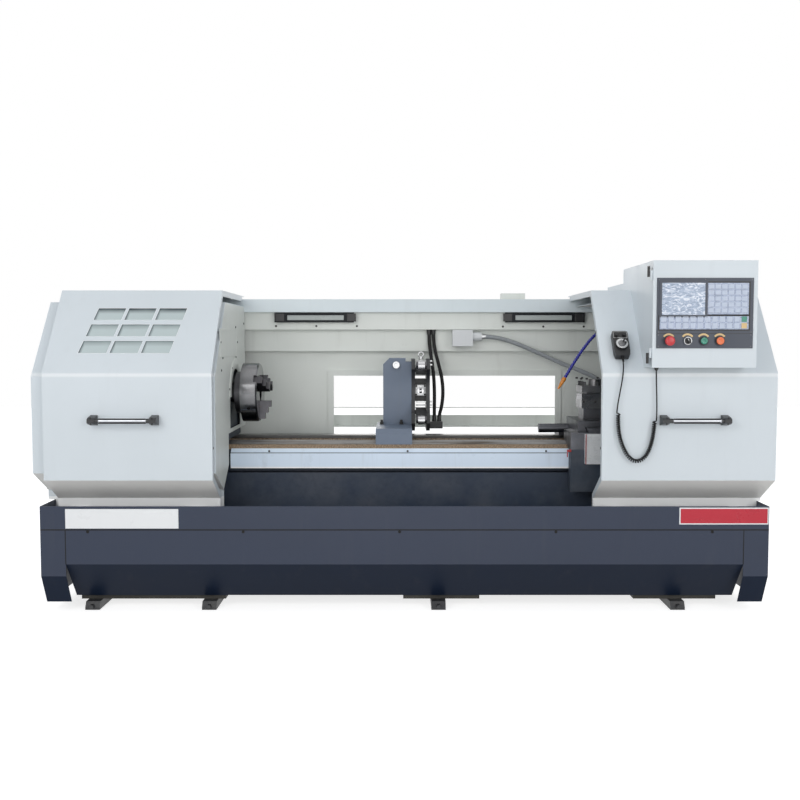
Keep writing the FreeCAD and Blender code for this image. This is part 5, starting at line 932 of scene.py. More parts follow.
def bored(piece, cutter):
    """Cut one piece out of another."""
    use(piece)
    cut = piece.modifiers.new("bore", "BOOLEAN")
    cut.operation = "DIFFERENCE"
    cut.object = cutter
    cut.solver = "EXACT"
    bpy.ops.object.modifier_apply(modifier=cut.name)
    bpy.data.objects.remove(cutter)
    return piece


def ring(name, centre, axis, outer, inner, depth, sides):
    """A flat ring about a centre."""
    piece = bored(disc(name, centre, axis, outer, depth, sides),
                  disc("bore", centre, axis, inner, depth * 3, sides))
    return rounded(piece, 0.0004)


def frame_of(name, low, high, wall, thick, edge):
    """Four bars round an opening in the XY plane, from the plane up to a thickness."""
    left, bottom = low
    right, top = high
    bars = [
        block(name, (left, bottom, 0), (right, bottom + wall, thick), edge),
        block(name, (left, top - wall, 0), (right, top, thick), edge),
        block(name, (left, bottom + wall, 0), (left + wall, top - wall, thick), edge),
        block(name, (right - wall, bottom + wall, 0), (right, top - wall, thick), edge)]
    return joined(bars, name)


class LATHE_OT_finishes(bpy.types.Operator):
    """Give every CAD part of the lathe its finish"""

    bl_idname = "lathe.finishes"
    bl_label = "Finishes"

    def execute(self, context):
        missing = set(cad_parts) - set(NODE_FINISH)
        if missing:
            raise RuntimeError("no finish for %s" % sorted(missing))
        for name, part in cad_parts.items():
            for slot in part.material_slots:
                slot.material = finishes()[NODE_FINISH[name]]
        return {"FINISHED"}


class LATHE_OT_stage(bpy.types.Operator):
    """Set the pale floor, the soft lights and the camera"""

    bl_idname = "lathe.stage"
    bl_label = "Stage"

    def execute(self, context):
        floor = block("floor", (-14, -14, -0.2), (14, 14, 0), 0.01)
        finish, tree, surface, place = begin_finish("pale_floor")
        cloud = ramp(tree, noise(tree, place, 0.8, 3), 0.3, 0.7, 0.62, 0.70)
        tint = node(tree, "ShaderNodeCombineColor", {"Red": cloud, "Green": cloud,
                                                     "Blue": cloud}).outputs["Color"]
        tree.links.new(tint, surface.inputs["Base Color"])
        surface.inputs["Roughness"].default_value = 0.7
        tree.links.new(sum_of(tree, "MULTIPLY", seen_rays(tree), FLOOR_GLOW),
                       surface.inputs["Emission Strength"])
        surface.inputs["Emission Color"].default_value = (1, 1, 1, 1)
        floor.data.materials.append(finish)

        world = bpy.data.worlds.new("studio")
        context.scene.world = world
        world.use_nodes = True
        web = world.node_tree
        web.nodes.clear()
        light = node(web, "ShaderNodeBackground", {"Color": (0.93, 0.96, 1, 1),
                                                   "Strength": WORLD_LIGHT})
        sight = node(web, "ShaderNodeBackground", {"Color": (1, 1, 1, 1),
                                                   "Strength": 1.0})
        both = node(web, "ShaderNodeMixShader", {
            0: seen_rays(web), 1: light.outputs["Background"],
            2: sight.outputs["Background"]})
        node(web, "ShaderNodeOutputWorld", {"Surface": both.outputs["Shader"]})

        for name, place, aim, width, watts in LAMPS:
            made = bpy.data.lights.new(name, "AREA")
            made.size = width
            made.energy = watts
            made.color = (1.0, 0.99, 0.97)
            lamp = bpy.data.objects.new(name, made)
            context.collection.objects.link(lamp)
            lamp.location = place
            way = Vector(aim) - Vector(place)
            lamp.rotation_euler = way.to_track_quat("-Z", "Y").to_euler()

        lens = bpy.data.cameras.new("view")
        lens.lens = LENS
        lens.sensor_width = 36
        camera = bpy.data.objects.new("view", lens)
        context.collection.objects.link(camera)
        camera.location = CAMERA_PLACE
        camera.rotation_euler = (math.radians(90 - CAMERA_DIP), 0, 0)
        context.scene.camera = camera
        context.scene.view_settings.view_transform = "Standard"
        return {"FINISHED"}


class LATHE_OT_pendant_cord(bpy.types.Operator):
    """Hang the hand pendant's curly cord"""

    bl_idname = "lathe.pendant_cord"
    bl_label = "Pendant cord"

    def execute(self, context):
        curls = sizes().curls
        slow = EASED_CURLS / curls
        route = route_line(CORD_TAIL + CORD_COIL + CORD_LEAD)
        stations, whole = evenly(route, CORD_STEP)
        last = len(stations) - 1

        def reach(corner):
            return min(stations, key=lambda s: (s[0] - Vector(corner)).length)[2]

        start = reach(CORD_COIL[0])
        stop = reach(CORD_COIL[-1])
        places = []
        across = Vector((0, 1, 0))
        coiled = CURL_POINTS * curls
        marks = [start * i / CURL_POINTS for i in range(CURL_POINTS)]
        marks += [start + (stop - start) * i / coiled for i in range(coiled)]
        marks += [stop + (whole - stop) * i / CURL_POINTS for i in range(CURL_POINTS + 1)]
        for mark in marks:
            place, way, _ = stations[min(last, round(mark / whole * last))]
            aside = across.cross(way).normalized()
            grown = min(1, mark / start, (whole - mark) / (whole - stop))
            swing = sizes().curl * grown * grown * (3 - 2 * grown)
            share = min(1, max(0, (mark - start) / (stop - start)))
            turned_by = share - slow / 2
            if share < slow:
                turned_by = share * share / (2 * slow)
            elif share > 1 - slow:
                turned_by = 1 - slow - (1 - share) ** 2 / (2 * slow)
            angle = 2 * math.pi * curls * turned_by / (1 - slow)
            places.append(place + aside * (swing * math.cos(angle))
                          + across * (swing * math.sin(angle)))
        cord = route_curve("curly_cord", [tuple(place) for place in places], sizes().cord)
        cord.data.resolution_u = 3
        cord.data.bevel_resolution = 3
        fit(cord, "rubber", "right_door")
        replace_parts(cord, "pendant_cord")
        relief = turned("cord_relief", CORD_TAIL[0], SLOPE_UP * -1, [
            (-0.002, 0.0085), (0.004, 0.0085), (0.006, 0.0068), (0.012, 0.0062),
            (0.024, 0.0046)], 20)
        fit(relief, "rubber", "right_door")
        gland = turned("cord_gland", (1.205, -0.650, 1.2195), (0, 0, -1), [
            (0, 0.011), (0.006, 0.011), (0.0065, 0.009), (0.013, 0.0088),
            (0.015, 0.0064), (0.018, 0.0052)], 24)
        fit(gland, "bolt_black", "right_door")
        return {"FINISHED"}


class LATHE_OT_conduit(bpy.types.Operator):
    """Run the corrugated conduit from the junction box to the carriage"""

    bl_idname = "lathe.conduit"
    bl_label = "Conduit"

    def execute(self, context):
        middle = sizes().conduit / 2

        def ribs(along):
            return middle + RIB_DEPTH * (math.cos(2 * math.pi * along / RIB_PITCH) - 1)

        pipe, path = tube("corrugated_conduit", route_line(CONDUIT), 0.0013, ribs, 20)
        fit(pipe, "conduit_grey", "frame")
        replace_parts(pipe, "conduit")
        ends = []
        for place, way in ((CONDUIT[0], Vector(CONDUIT[1]) - Vector(CONDUIT[0])),
                           (CONDUIT[-1], Vector((0, 0, 1)))):
            ends.append(turned("conduit_end", place, way, [
                (0, 0.0165), (0.010, 0.0165), (0.011, 0.0148), (0.024, 0.0145),
                (0.026, 0.0134)], 24))
        collars = fit(joined(ends, "conduit_collars"), "zinc", "frame")
        return {"FINISHED"}


class LATHE_OT_coolant_line(bpy.types.Operator):
    """Run the jointed coolant line from the carriage to its nozzle"""

    bl_idname = "lathe.coolant_line"
    bl_label = "Coolant line"

    def execute(self, context):
        middle = sizes().coolant / 2

        def balls(along):
            share = (along % BEAD_PITCH) / BEAD_PITCH
            if share < BEAD_SHARE:
                swell = BEAD_RISE * math.sin(math.pi * share / BEAD_SHARE)
            else:
                swell = -NECK_FALL * math.sin(math.pi * (share - BEAD_SHARE)
                                              / (1 - BEAD_SHARE))
            return middle * (1 - BEAD_RISE + swell)

        line, path = tube("jointed_line", route_line(COOLANT), 0.0015, balls, 20)
        fit(line, "coolant_blue", "carriage")
        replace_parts(line, "coolant_hose")
        tip = Vector(COOLANT[-1])
        way = (tip - Vector(COOLANT[-2])).normalized()
        nozzle = turned("coolant_nozzle", tip, way, [
            (-0.006, 0.0088), (0.000, 0.0112), (0.010, 0.0122), (0.016, 0.0112),
            (0.018, 0.0095), (0.030, 0.0100), (0.034, 0.0088), (0.058, 0.0062),
            (0.0665, 0.0056), (0.0668, 0.0042), (0.060, 0.0040)], 28)
        fit(nozzle, "nozzle_orange", "carriage")
        foot = turned("coolant_fitting", COOLANT[0], (0, 0, 1), [
            (0, 0.0135), (0.012, 0.0135), (0.013, 0.0112), (0.030, 0.0108),
            (0.034, 0.0095)], 28)
        fit(foot, "nozzle_orange", "carriage")
        return {"FINISHED"}


class LATHE_OT_steady_hoses(bpy.types.Operator):
    """Run the two hoses from the wall to the steady rest"""

    bl_idname = "lathe.steady_hoses"
    bl_label = "Steady hoses"

    def execute(self, context):
        for i, route in enumerate(STEADY_HOSES):
            hose = route_curve("steady_hose_%d" % (i + 1), route, sizes().hose)
            fit(hose, "rubber", "frame")
            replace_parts(hose, "steady_hoses")
            top = turned("hose_top", route[0], (0, 0, -1), [
                (0, 0.0150), (0.008, 0.0150), (0.009, 0.0128), (0.026, 0.0124),
                (0.030, 0.0108)], 24)
            low = turned("hose_foot", route[-1], (0, 0, 1), [
                (0, 0.0132), (0.010, 0.0132), (0.011, 0.0120), (0.030, 0.0118),
                (0.033, 0.0106)], 24)
            ends = fit(joined([top, low], "hose_ends_%d" % (i + 1)), "bolt_black", "frame")
        return {"FINISHED"}


class LATHE_OT_steady_trim(bpy.types.Operator):
    """Fit the steady rest's eye bolt, plates and bolts"""

    bl_idname = "lathe.steady_trim"
    bl_label = "Steady rest trim"

    def execute(self, context):
        shank = turned("eye_bolt", (0.100, 0.200, 1.240), (0, 0, 1), [
            (0, 0.012), (0.006, 0.012), (0.007, 0.0075), (0.014, 0.0065)], 20)
        deselect()
        bpy.ops.mesh.primitive_torus_add(
            location=(0.100, 0.200, 1.2665), rotation=(math.pi / 2, 0, 0),
            major_radius=0.0135, minor_radius=0.0042, major_segments=32, minor_segments=12)
        loop = bpy.context.object
        settle(loop)
        bpy.ops.object.shade_smooth()
        fit(joined([shank, loop], "eye_bolt"), "zinc", "frame")

        plate = block("port_plate", (0.066, 0.188, 1.033), (0.130, 0.1945, 1.097), 0.003, 3)
        fit(rounded(plate, 0.0006), "zinc", "frame")
        screws("port_screws", [(x, 0.188, z) for x in (0.074, 0.122)
                               for z in (1.041, 1.089)], "-Y", 0.0052, 0.003)
        port = turned("port", (0.098, 0.1880, 1.065), (0, -1, 0), [
            (0, 0.0135), (0.002, 0.0135), (0.0028, 0.0115), (0.0030, 0.0075),
            (0.0012, 0.0070)], 28)
        fit(port, "bolt_black", "frame")
        bars = [block("clamp_bar", (0.072, 0.182, z), (0.164, 0.196, z + 0.009), 0.0012)
                for z in (1.226, 1.205, 0.996, 0.977)]
        fit(joined(bars, "clamp_bars"), "zinc", "frame")
        screws("clamp_screws", [(x, 0.196, z) for x in (0.079, 0.157)
                                for z in (1.2305, 1.0005)], "-Y", 0.0036, 0.0022)

        face = turned("pivot_cap", (-0.0395, 0.116, 1.209), (0, -1, 0), [
            (-0.004, 0.0205), (0.002, 0.0205), (0.004, 0.0185), (0.0045, 0.0100),
            (0.0020, 0.0092)], 36)
        fit(face, "zinc", "frame")
        feet = []
        for x in (-0.120, -0.011):
            feet.append(turned("hold_down_bolt", (x, 0.100, 0.880), (0, 0, 1), [
                (0, 0.0150), (0.003, 0.0150), (0.0035, 0.0110), (0.013, 0.0110),
                (0.015, 0.0085), (0.024, 0.0080), (0.026, 0.0066)], 6))
        fit(joined(feet, "hold_down_bolts"), "bolt_black", "frame")
        return {"FINISHED"}


class LATHE_OT_lamps(bpy.types.Operator):
    """Fit the work lamps' diffusers, end caps and screws"""

    bl_idname = "lathe.lamps"
    bl_label = "Work lamps"

    def execute(self, context):
        lenses = []
        caps = []
        for left, right in ((-0.739, -0.267), (0.571, 1.043)):
            lens = block("diffuser", (left + 0.074, 0.2975, 1.462),
                         (right - 0.074, 0.302, 1.490), 0.002)
            lenses.append(dish(lens, (0, -1, 0), 0.003, 0.0012))
            for near, far in ((left + 0.004, left + 0.056), (right - 0.056, right - 0.004)):
                cap = block("end_cap", (near, 0.2965, 1.455), (far, 0.304, 1.500), 0.0025)
                caps.append(dish(cap, (0, -1, 0), 0.005, 0.0015))
        fit(joined(lenses, "lamp_diffusers"), "lamp_lens", "frame")
        fit(joined(caps, "lamp_end_caps"), "black_plastic", "frame")
        places = [(x, 0.330, 1.4286) for x in (-0.734, -0.501, -0.267)]
        places += [(x, 0.330, 1.426) for x in (0.576, 0.809, 1.043)]
        screws("wall_screws", places, "-Y", 0.0062, 0.0032)
        return {"FINISHED"}


class LATHE_OT_cover_screws(bpy.types.Operator):
    """Fit the small black screws of the covers"""

    bl_idname = "lathe.cover_screws"
    bl_label = "Cover screws"

    def execute(self, context):
        head = sizes().screw
        screws("strip_screws", [(x, -0.234, 0.768) for x in (-0.702, 0.022, 0.746)], "-Y",
               head * STRIP_SCREW, 0.0026)
        walls = [(0.007, 1.418), (-0.431, 1.337), (0.059, 1.337), (-0.381, 1.257),
                 (0.007, 1.255), (-0.422, 1.196), (-0.116, 1.199), (-0.197, 1.090),
                 (0.278, 1.442), (0.278, 1.100)]
        screws("partition_screws", [(-0.913, y, z) for y, z in walls], "+X",
               head * PARTITION_SCREW, 0.003)
        screws("left_door_screws", [(-0.922, -0.455, 1.385), (-0.922, -0.603, 0.825)],
               "+X", head, 0.0012, body="left_door")
        screws("right_door_screws", [(0.954, -0.455, 1.385), (0.954, -0.603, 0.825)],
               "-X", head, 0.0012, body="right_door")
        plate = block("partition_plate", (-0.914, -0.455, 1.262), (-0.9105, 0.040, 1.405),
                      0.001)
        fit(dish(plate, (1, 0, 0), 0.012, 0.0008), "guard_coat", "frame")
        collar = bored(
            disc("nose_collar", (-0.9121, -0.010, 1.065), "X", 0.187, 0.0026, 56),
            disc("bore", (-0.912, -0.010, 1.065), "X", 0.128, 0.03, 56))
        bored(collar, block("under", (-0.95, -0.300, 0.800), (-0.87, 0.300, 1.046)))
        fit(rounded(collar, 0.0006), "guard_coat", "frame")
        return {"FINISHED"}


class LATHE_OT_base_plates(bpy.types.Operator):
    """Fit the blank white plate and the blank red plate on the base"""

    bl_idname = "lathe.base_plates"
    bl_label = "Base plates"

    def execute(self, context):
        white = block("white_plate", (-1.648, -0.6022, 0.431), (-1.097, -0.599, 0.527),
                      0.0012, 2)
        fit(dish(white, (0, -1, 0), 0.004, 0.0003), "plate_white", "frame")
        border = block("red_plate_border", (1.342, -0.6016, 0.451), (1.777, -0.599, 0.534),
                       0.0010, 2)
        fit(dish(border, (0, -1, 0), 0.003, 0.0003), "plate_white", "frame")
        red = block("red_plate", (1.348, -0.6024, 0.457), (1.771, -0.6010, 0.528), 0.0006)
        fit(dish(red, (0, -1, 0), 0.006, 0.0003), "badge_red", "frame")
        seams = [block("base_seam", (-1.772, -0.6008, 0.4215), (1.780, -0.5990, 0.4270),
                       0.0003)]
        for x in (-1.650, 1.658):
            seams.append(block("base_seam", (x - 0.0022, -0.6008, 0.2540),
                               (x + 0.0022, -0.5990, 0.4215), 0.0003))
        fit(joined(seams, "base_seams"), "rubber", "frame")
        screws("base_screws", [(x, -0.600, 0.415) for x in (-1.540, -0.782, -0.020, 0.742,
                                                           1.504)], "-Y",
               sizes().screw * BASE_SCREW, 0.0030, "rubber")
        return {"FINISHED"}


class LATHE_OT_operator_panel(bpy.types.Operator):
    """Fit the operator panel's screen, keys and frames"""

    bl_idname = "lathe.operator_panel"
    bl_label = "Operator panel"

    def execute(self, context):
        glass = block("screen_glass", (1.194, -0.7662, 1.463), (1.396, -0.763, 1.613),
                      0.0010, 2)
        fit(dish(glass, (0, -1, 0), 0.004, 0.0004), "screen", "panel_door")
        ground = [block("key_ground", (1.405, -0.7650, 1.466), (1.598, -0.763, 1.612),
                        0.0006),
                  block("key_ground", (1.186, -0.7650, 1.397), (1.599, -0.763, 1.459),
                        0.0006)]
        fit(joined(ground, "key_ground"), "key_film", "panel_door")

        def key(name, width, height):
            cap = block(name, (0, KEY_FRONT, 0), (width, KEY_BACK, height), 0.0009)
            return dish(cap, (0, -1, 0), 0.0022, 0.0004)

        small = spread(key("key_caps", 0.0248, 0.0200), "key_caps", [
            (1.4106 + 0.031 * column, 0, 1.4746 + 0.0275 * row)
            for column in range(6) for row in range(5)])
        fit(small, "key_cap", "panel_door")
        large = spread(key("soft_keys", 0.0248, 0.0248), "soft_keys", [
            (1.1916 + 0.034 * column, 0, 1.4016 + 0.030 * row)
            for column in range(11) for row in range(2)])
        fit(large, "key_cap", "panel_door")
        for name, low, finish in (("yellow_key", 1.4016, "label_tan"),
                                  ("green_key", 1.4316, "start_green")):
            cap = block(name, (1.5656, KEY_FRONT, low), (1.5904, KEY_BACK, low + 0.0248),
                        0.0009)
            fit(dish(cap, (0, -1, 0), 0.0022, 0.0004), finish, "panel_door")

        frames = []
        for low, high in (((1.187, 1.456), (1.403, 1.620)),
                          ((1.399, 1.460), (1.604, 1.618)),
                          ((1.180, 1.391), (1.605, 1.464))):
            bars = frame_of("frame", low, high, 0.0055, 0.0030, 0.0007)
            frames.append(laid(bars, standing(0, -0.7635, 0)))
        fit(joined(frames, "key_frames"), "black_plastic", "panel_door")
        seam = block("panel_seam", (1.174, -0.7648, 1.3765), (1.618, -0.7635, 1.3785),
                     0.0004)
        fit(seam, "bolt_black", "panel_door")
        screws("panel_screws", [(x, -0.764, z) for x in (1.181, 1.611)
                                for z in (1.318, 1.371, 1.385, 1.627)]
               + [(1.396, -0.764, 1.628)], "-Y", 0.0024, 0.0014, "tool_steel", "panel_door")
        return {"FINISHED"}


class LATHE_OT_buttons(bpy.types.Operator):
    """Shape the panel's buttons, its selector and their collars"""

    bl_idname = "lathe.buttons"
    bl_label = "Panel buttons"

    def execute(self, context):
        height = 1.344
        middles = {"stop": 1.229, "selector": 1.317, "start": 1.391, "hold": 1.466}
        stop = turned("stop_button", (middles["stop"], PANEL_FACE, height), (0, -1, 0), [
            (0, 0.0120), (0.0205, 0.0120), (0.0220, 0.0205), (0.0236, 0.0228),
            (0.0285, 0.0230), (0.0320, 0.0215), (0.0345, 0.0180), (0.0356, 0.0120),
            (0.0359, 0.0040)], 48)
        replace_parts(fit(stop, "stop_red", "emergency_stop"),
                    "emergency_stop")
        for name, finish, slot, size in (
                ("start", "start_green", "green_plastic", 0.0125),
                ("hold", "hold_orange", "orange_plastic", 0.0140)):
            cap = turned(name + "_cap", (middles[name], PANEL_FACE, height), (0, -1, 0), [
                (0, size - 0.0003), (0.0118, size - 0.0003), (0.0122, size + 0.0036),
                (0.0140, size + 0.0038), (0.0152, size + 0.0028), (0.0158, size + 0.0006),
                (0.0154, size - 0.0045), (0.0146, 0.0040)], 48)
            body = name + "_button"
            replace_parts(fit(cap, finish, body), body)

        stem = turned("selector_stem", (middles["selector"], PANEL_FACE, height),
                      (0, -1, 0), [(0, 0.0146), (0.0105, 0.0146), (0.0125, 0.0132),
                                   (0.0130, 0.0110)], 40)
        grip = block("selector_grip", (-0.0042, -0.0138, 0.0120), (0.0042, 0.0138, 0.0285),
                     0.0018, 3)
        turn = Matrix.Rotation(math.radians(32), 4, "Z")
        flat = standing(middles["selector"], PANEL_FACE, height)
        grip = laid(grip, flat @ turn)
        knob = fit(joined([stem, grip], "selector"), "black_plastic", "mode_selector")
        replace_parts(knob, "mode_selector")
        mark = block("selector_mark", (-0.0009, 0.0020, 0.0284), (0.0009, 0.0125, 0.0289),
                     0.0002)
        fit(laid(mark, flat @ turn), "plate_white", "mode_selector")

        for name, outer, inner, finish in (
                ("stop", 0.0215, 0.0130, "bolt_black"),
                ("selector", 0.0185, 0.0152, "zinc"),
                ("start", 0.0202, 0.0170, "bolt_black"),
                ("hold", 0.0216, 0.0185, "bolt_black")):
            fit(ring(name + "_collar", (middles[name], -0.7700, height), "Y", outer, inner,
                     0.0072, 48), finish, "panel_door")

        labels = []
        for middle in middles.values():
            plate = disc("label", (middle, -0.7645, height + 0.0015), "Y", 0.0330, 0.0012,
                         64)
            plate = bored(plate, disc("hole", (middle, -0.7645, height + 0.0015), "Y",
                                      0.0245, 0.004, 64))
            use(plate)
            bpy.ops.object.mode_set(mode="EDIT")
            for side in (-1, 1):
                bpy.ops.mesh.select_all(action="SELECT")
                bpy.ops.mesh.bisect(
                    plane_co=(middle, -0.7645, height + 0.0015),
                    plane_no=(side * math.cos(math.radians(52)), 0,
                              -math.sin(math.radians(52))),
                    use_fill=True, clear_outer=True)
            bpy.ops.object.mode_set(mode="OBJECT")
            labels.append(plate)
        fit(joined(labels, "button_labels"), "label_tan", "panel_door")
        return {"FINISHED"}


class LATHE_OT_panel_hinges(bpy.types.Operator):
    """Fit the panel door's hinges and lock"""

    bl_idname = "lathe.panel_hinges"
    bl_label = "Panel hinges and lock"

    def execute(self, context):
        leaves = []
        for low in (1.238, 1.640):
            leaves.append(turned("hinge_barrel", (1.1365, -0.7450, low), (0, 0, 1), [
                (0, 0.0050), (0.001, 0.0062), (0.016, 0.0062), (0.0165, 0.0054),
                (0.0175, 0.0054), (0.018, 0.0062), (0.031, 0.0062), (0.0315, 0.0054),
                (0.0325, 0.0054), (0.033, 0.0062), (0.049, 0.0062), (0.050, 0.0050)], 20))
            leaf = block("hinge_leaf", (1.1385, -0.7385, low + 0.001),
                         (1.1425, -0.7100, low + 0.049), 0.0012)
            leaves.append(dish(leaf, (-1, 0, 0), 0.004, 0.0006))
        fit(joined(leaves, "panel_hinges"), "bolt_black", "right_door")
        lock = turned("panel_lock", (1.6395, -0.700, 1.392), (1, 0, 0), [
            (0, 0.0130), (0.003, 0.0130), (0.005, 0.0112), (0.0055, 0.0070),
            (0.0030, 0.0066)], 32)
        tongue = block("lock_slot", (1.6420, -0.7012, 1.3870), (1.6448, -0.6988, 1.3970),
                       0.0004)
        fit(joined([lock, tongue], "panel_lock"), "bolt_black", "right_door")
        return {"FINISHED"}


class LATHE_OT_pendant_face(bpy.types.Operator):
    """Fit the hand pendant's dial, scale and knobs"""

    bl_idname = "lathe.pendant_face"
    bl_label = "Pendant face"

    def execute(self, context):
        middle = on_slope(1.054, 0.138)
        scale = turned("dial_scale", (0, 0, 0.0515), (0, 0, 1), [
            (0, 0.0284), (0.0012, 0.0284), (0.0018, 0.0276), (0.0018, 0.0150)], 60)
        fit(laid(scale, middle), "zinc", "pendant_dial")
        marks = []
        for i in range(25):
            long = 0.0030 if i % 5 else 0.0048
            mark = block("scale_mark", (-0.00035, 0.0272 - long, 0.0532),
                         (0.00035, 0.0272, 0.0535), 0.0001, 1)
            marks.append(laid(mark, middle @ Matrix.Rotation(2 * math.pi * i / 25, 4, "Z")))
        fit(joined(marks, "scale_marks"), "bolt_black", "pendant_dial")
        cap = turned("dial_cap", (0, 0, 0.0525), (0, 0, 1), [
            (0, 0.0190), (0.0010, 0.0190), (0.0012, 0.0178), (0.0040, 0.0172),
            (0.0055, 0.0158), (0.0060, 0.0115), (0.0052, 0.0108)], 40)
        fit(laid(cap, middle), "tool_steel", "pendant_dial")
        peg = turned("dial_peg", (0.0085, 0.0105, 0.0570), (0, 0, 1), [
            (0, 0.0034), (0.008, 0.0042), (0.0105, 0.0038), (0.0115, 0.0020)], 20)
        fit(laid(peg, middle), "black_plastic", "pendant_dial")

        top = on_slope(1.054, 0.196)
        rim = frame_of("pendant_rim", (-0.034, -0.017), (0.034, 0.021), 0.0020, 0.0024,
                       0.0006)
        rim = laid(rim, top @ Matrix.Translation((0, 0, 0.0394)))
        fit(rim, "zinc", "right_door")
        knobs = []
        for x in (-0.018, 0.018):
            knobs.append(laid(turned("range_knob", (x, 0, 0.0400), (0, 0, 1), [
                (0, 0.0078), (0.0022, 0.0078), (0.0030, 0.0062), (0.0100, 0.0056),
                (0.0115, 0.0042)], 24), top))
        fit(joined(knobs, "range_knobs"), "zinc", "right_door")
        screws_at = [(x, y) for x in (-0.0315, 0.0315) for y in (-0.1135, 0.0215)]
        heads = []
        for x, y in screws_at:
            heads.append(laid(turned("pendant_screw", (x, y, 0.0395), (0, 0, 1), [
                (0, 0.0028), (0.0012, 0.0028), (0.0016, 0.0022), (0.0010, 0.0012)], 16),
                top))
        fit(joined(heads, "pendant_screws"), "bolt_black", "right_door")
        return {"FINISHED"}


class LATHE_OT_slide_fittings(bpy.types.Operator):
    """Fit the wipers, the edging and the turret's screws and clamp bolts"""

    bl_idname = "lathe.slide_fittings"
    bl_label = "Slide fittings"

    def execute(self, context):
        wipers = [block("wiper", (0.8435, -0.3032, 0.771), (0.8660, -0.2990, 0.7835),
                        0.0012),
                  block("wiper", (0.8435, -0.3032, 0.7445), (0.8485, -0.2990, 0.7700),
                        0.0012)]
        for wiper in wipers:
            dish(wiper, (0, -1, 0), 0.0014, 0.0005)
        fit(joined(wipers, "slide_wipers"), "wiper_red", "carriage")
        edging = block("cover_edging", (0.9336, -0.3358, 0.712), (0.9372, -0.3338, 0.866),
                       0.0005)
        fit(dish(edging, (0, -1, 0), 0.0008, 0.0003), "wiper_red", "carriage")
        heads = [(x, y, 1.138) for x in (0.945, 0.975, 1.059, 1.089)
                 for y in (-0.128, 0.002)]
        screws("turret_screws", heads, "+Z", 0.0068, 0.0090, body="turret")
        screws("clamp_bolts", [(x, -0.148, 1.022) for x in (0.955, 1.017, 1.079)], "-Y",
               0.0060, 0.0070, body="turret")
        return {"FINISHED"}


class LATHE_OT_cabinet_fittings(bpy.types.Operator):
    """Fit the electrical cabinet's louvres, hinges, locks and door seam"""

    bl_idname = "lathe.cabinet_fittings"
    bl_label = "Cabinet fittings"

    def execute(self, context):
        low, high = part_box("electrical_cabinet")
        case = block("cabinet_case", (low.x, low.y, low.z), (high.x, 0.7900, high.z), 0.003,
                     3)
        dish(case, (0, 1, 0), 0.018, 0.0020)
        door = block("cabinet_door", (low.x + 0.024, 0.7870, low.z + 0.024),
                     (high.x - 0.024, 0.7965, high.z - 0.024), 0.0030, 3)
        cabinet = rounded(joined([case, door], "cabinet"), 0.0008)
        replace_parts(fit(cabinet, "cover_coat", "frame"),
                    "electrical_cabinet")
        blade = block("louvre", (-0.062, 0, -0.0045), (0.062, 0.0030, 0.0045), 0.0014, 3)
        bpy.ops.object.mode_set(mode="EDIT")
        pick(blade, lambda middle, normal: normal.y > 0.9)
        bpy.ops.transform.translate(value=(0, 0, -0.0035))
        bpy.ops.object.mode_set(mode="OBJECT")
        places = [(x, 0.7963, z) for x in (-1.420, -1.230, -1.040)
                  for z in [0.660 + 0.018 * row for row in range(9)]]
        places += [(x, 0.7963, z) for x in (-1.420, -1.230, -1.040)
                   for z in [1.300 + 0.018 * row for row in range(7)]]
        fit(spread(blade, "cabinet_louvres", places), "cover_coat", "frame")
        seam = frame_of("cabinet_seam", (low.x + 0.018, low.z + 0.018),
                        (high.x - 0.018, high.z - 0.018), 0.0045, 0.0022, 0.0005)
        turn = Matrix(((1, 0, 0, 0), (0, 0, 1, 0.7880), (0, -1, 0, low.z + high.z),
                       (0, 0, 0, 1)))
        fit(laid(seam, turn), "rubber", "frame")
        locks = []
        for z in (0.760, 1.030, 1.290):
            boss = turned("cabinet_lock", (-0.868, 0.7955, z), (0, 1, 0), [
                (0, 0.0150), (0.0022, 0.0150), (0.0034, 0.0134), (0.0042, 0.0080),
                (0.0026, 0.0074)], 32)
            slot = block("lock_slot", (-0.8692, 0.7970, z - 0.006),
                         (-0.8668, 0.7994, z + 0.006), 0.0003)
            locks += [boss, slot]
        fit(joined(locks, "cabinet_locks"), "bolt_black", "frame")
        hinges = []
        for z in (0.700, 1.028, 1.340):
            hinges.append(turned("cabinet_hinge", (-1.6325, 0.7905, z - 0.032), (0, 0, 1), [
                (0, 0.0070), (0.001, 0.0080), (0.020, 0.0080), (0.0206, 0.0070),
                (0.0216, 0.0070), (0.0222, 0.0080), (0.042, 0.0080), (0.0426, 0.0070),
                (0.0436, 0.0070), (0.0442, 0.0080), (0.063, 0.0080), (0.064, 0.0070)], 20))
        fit(joined(hinges, "cabinet_hinges"), "bolt_black", "frame")
        return {"FINISHED"}


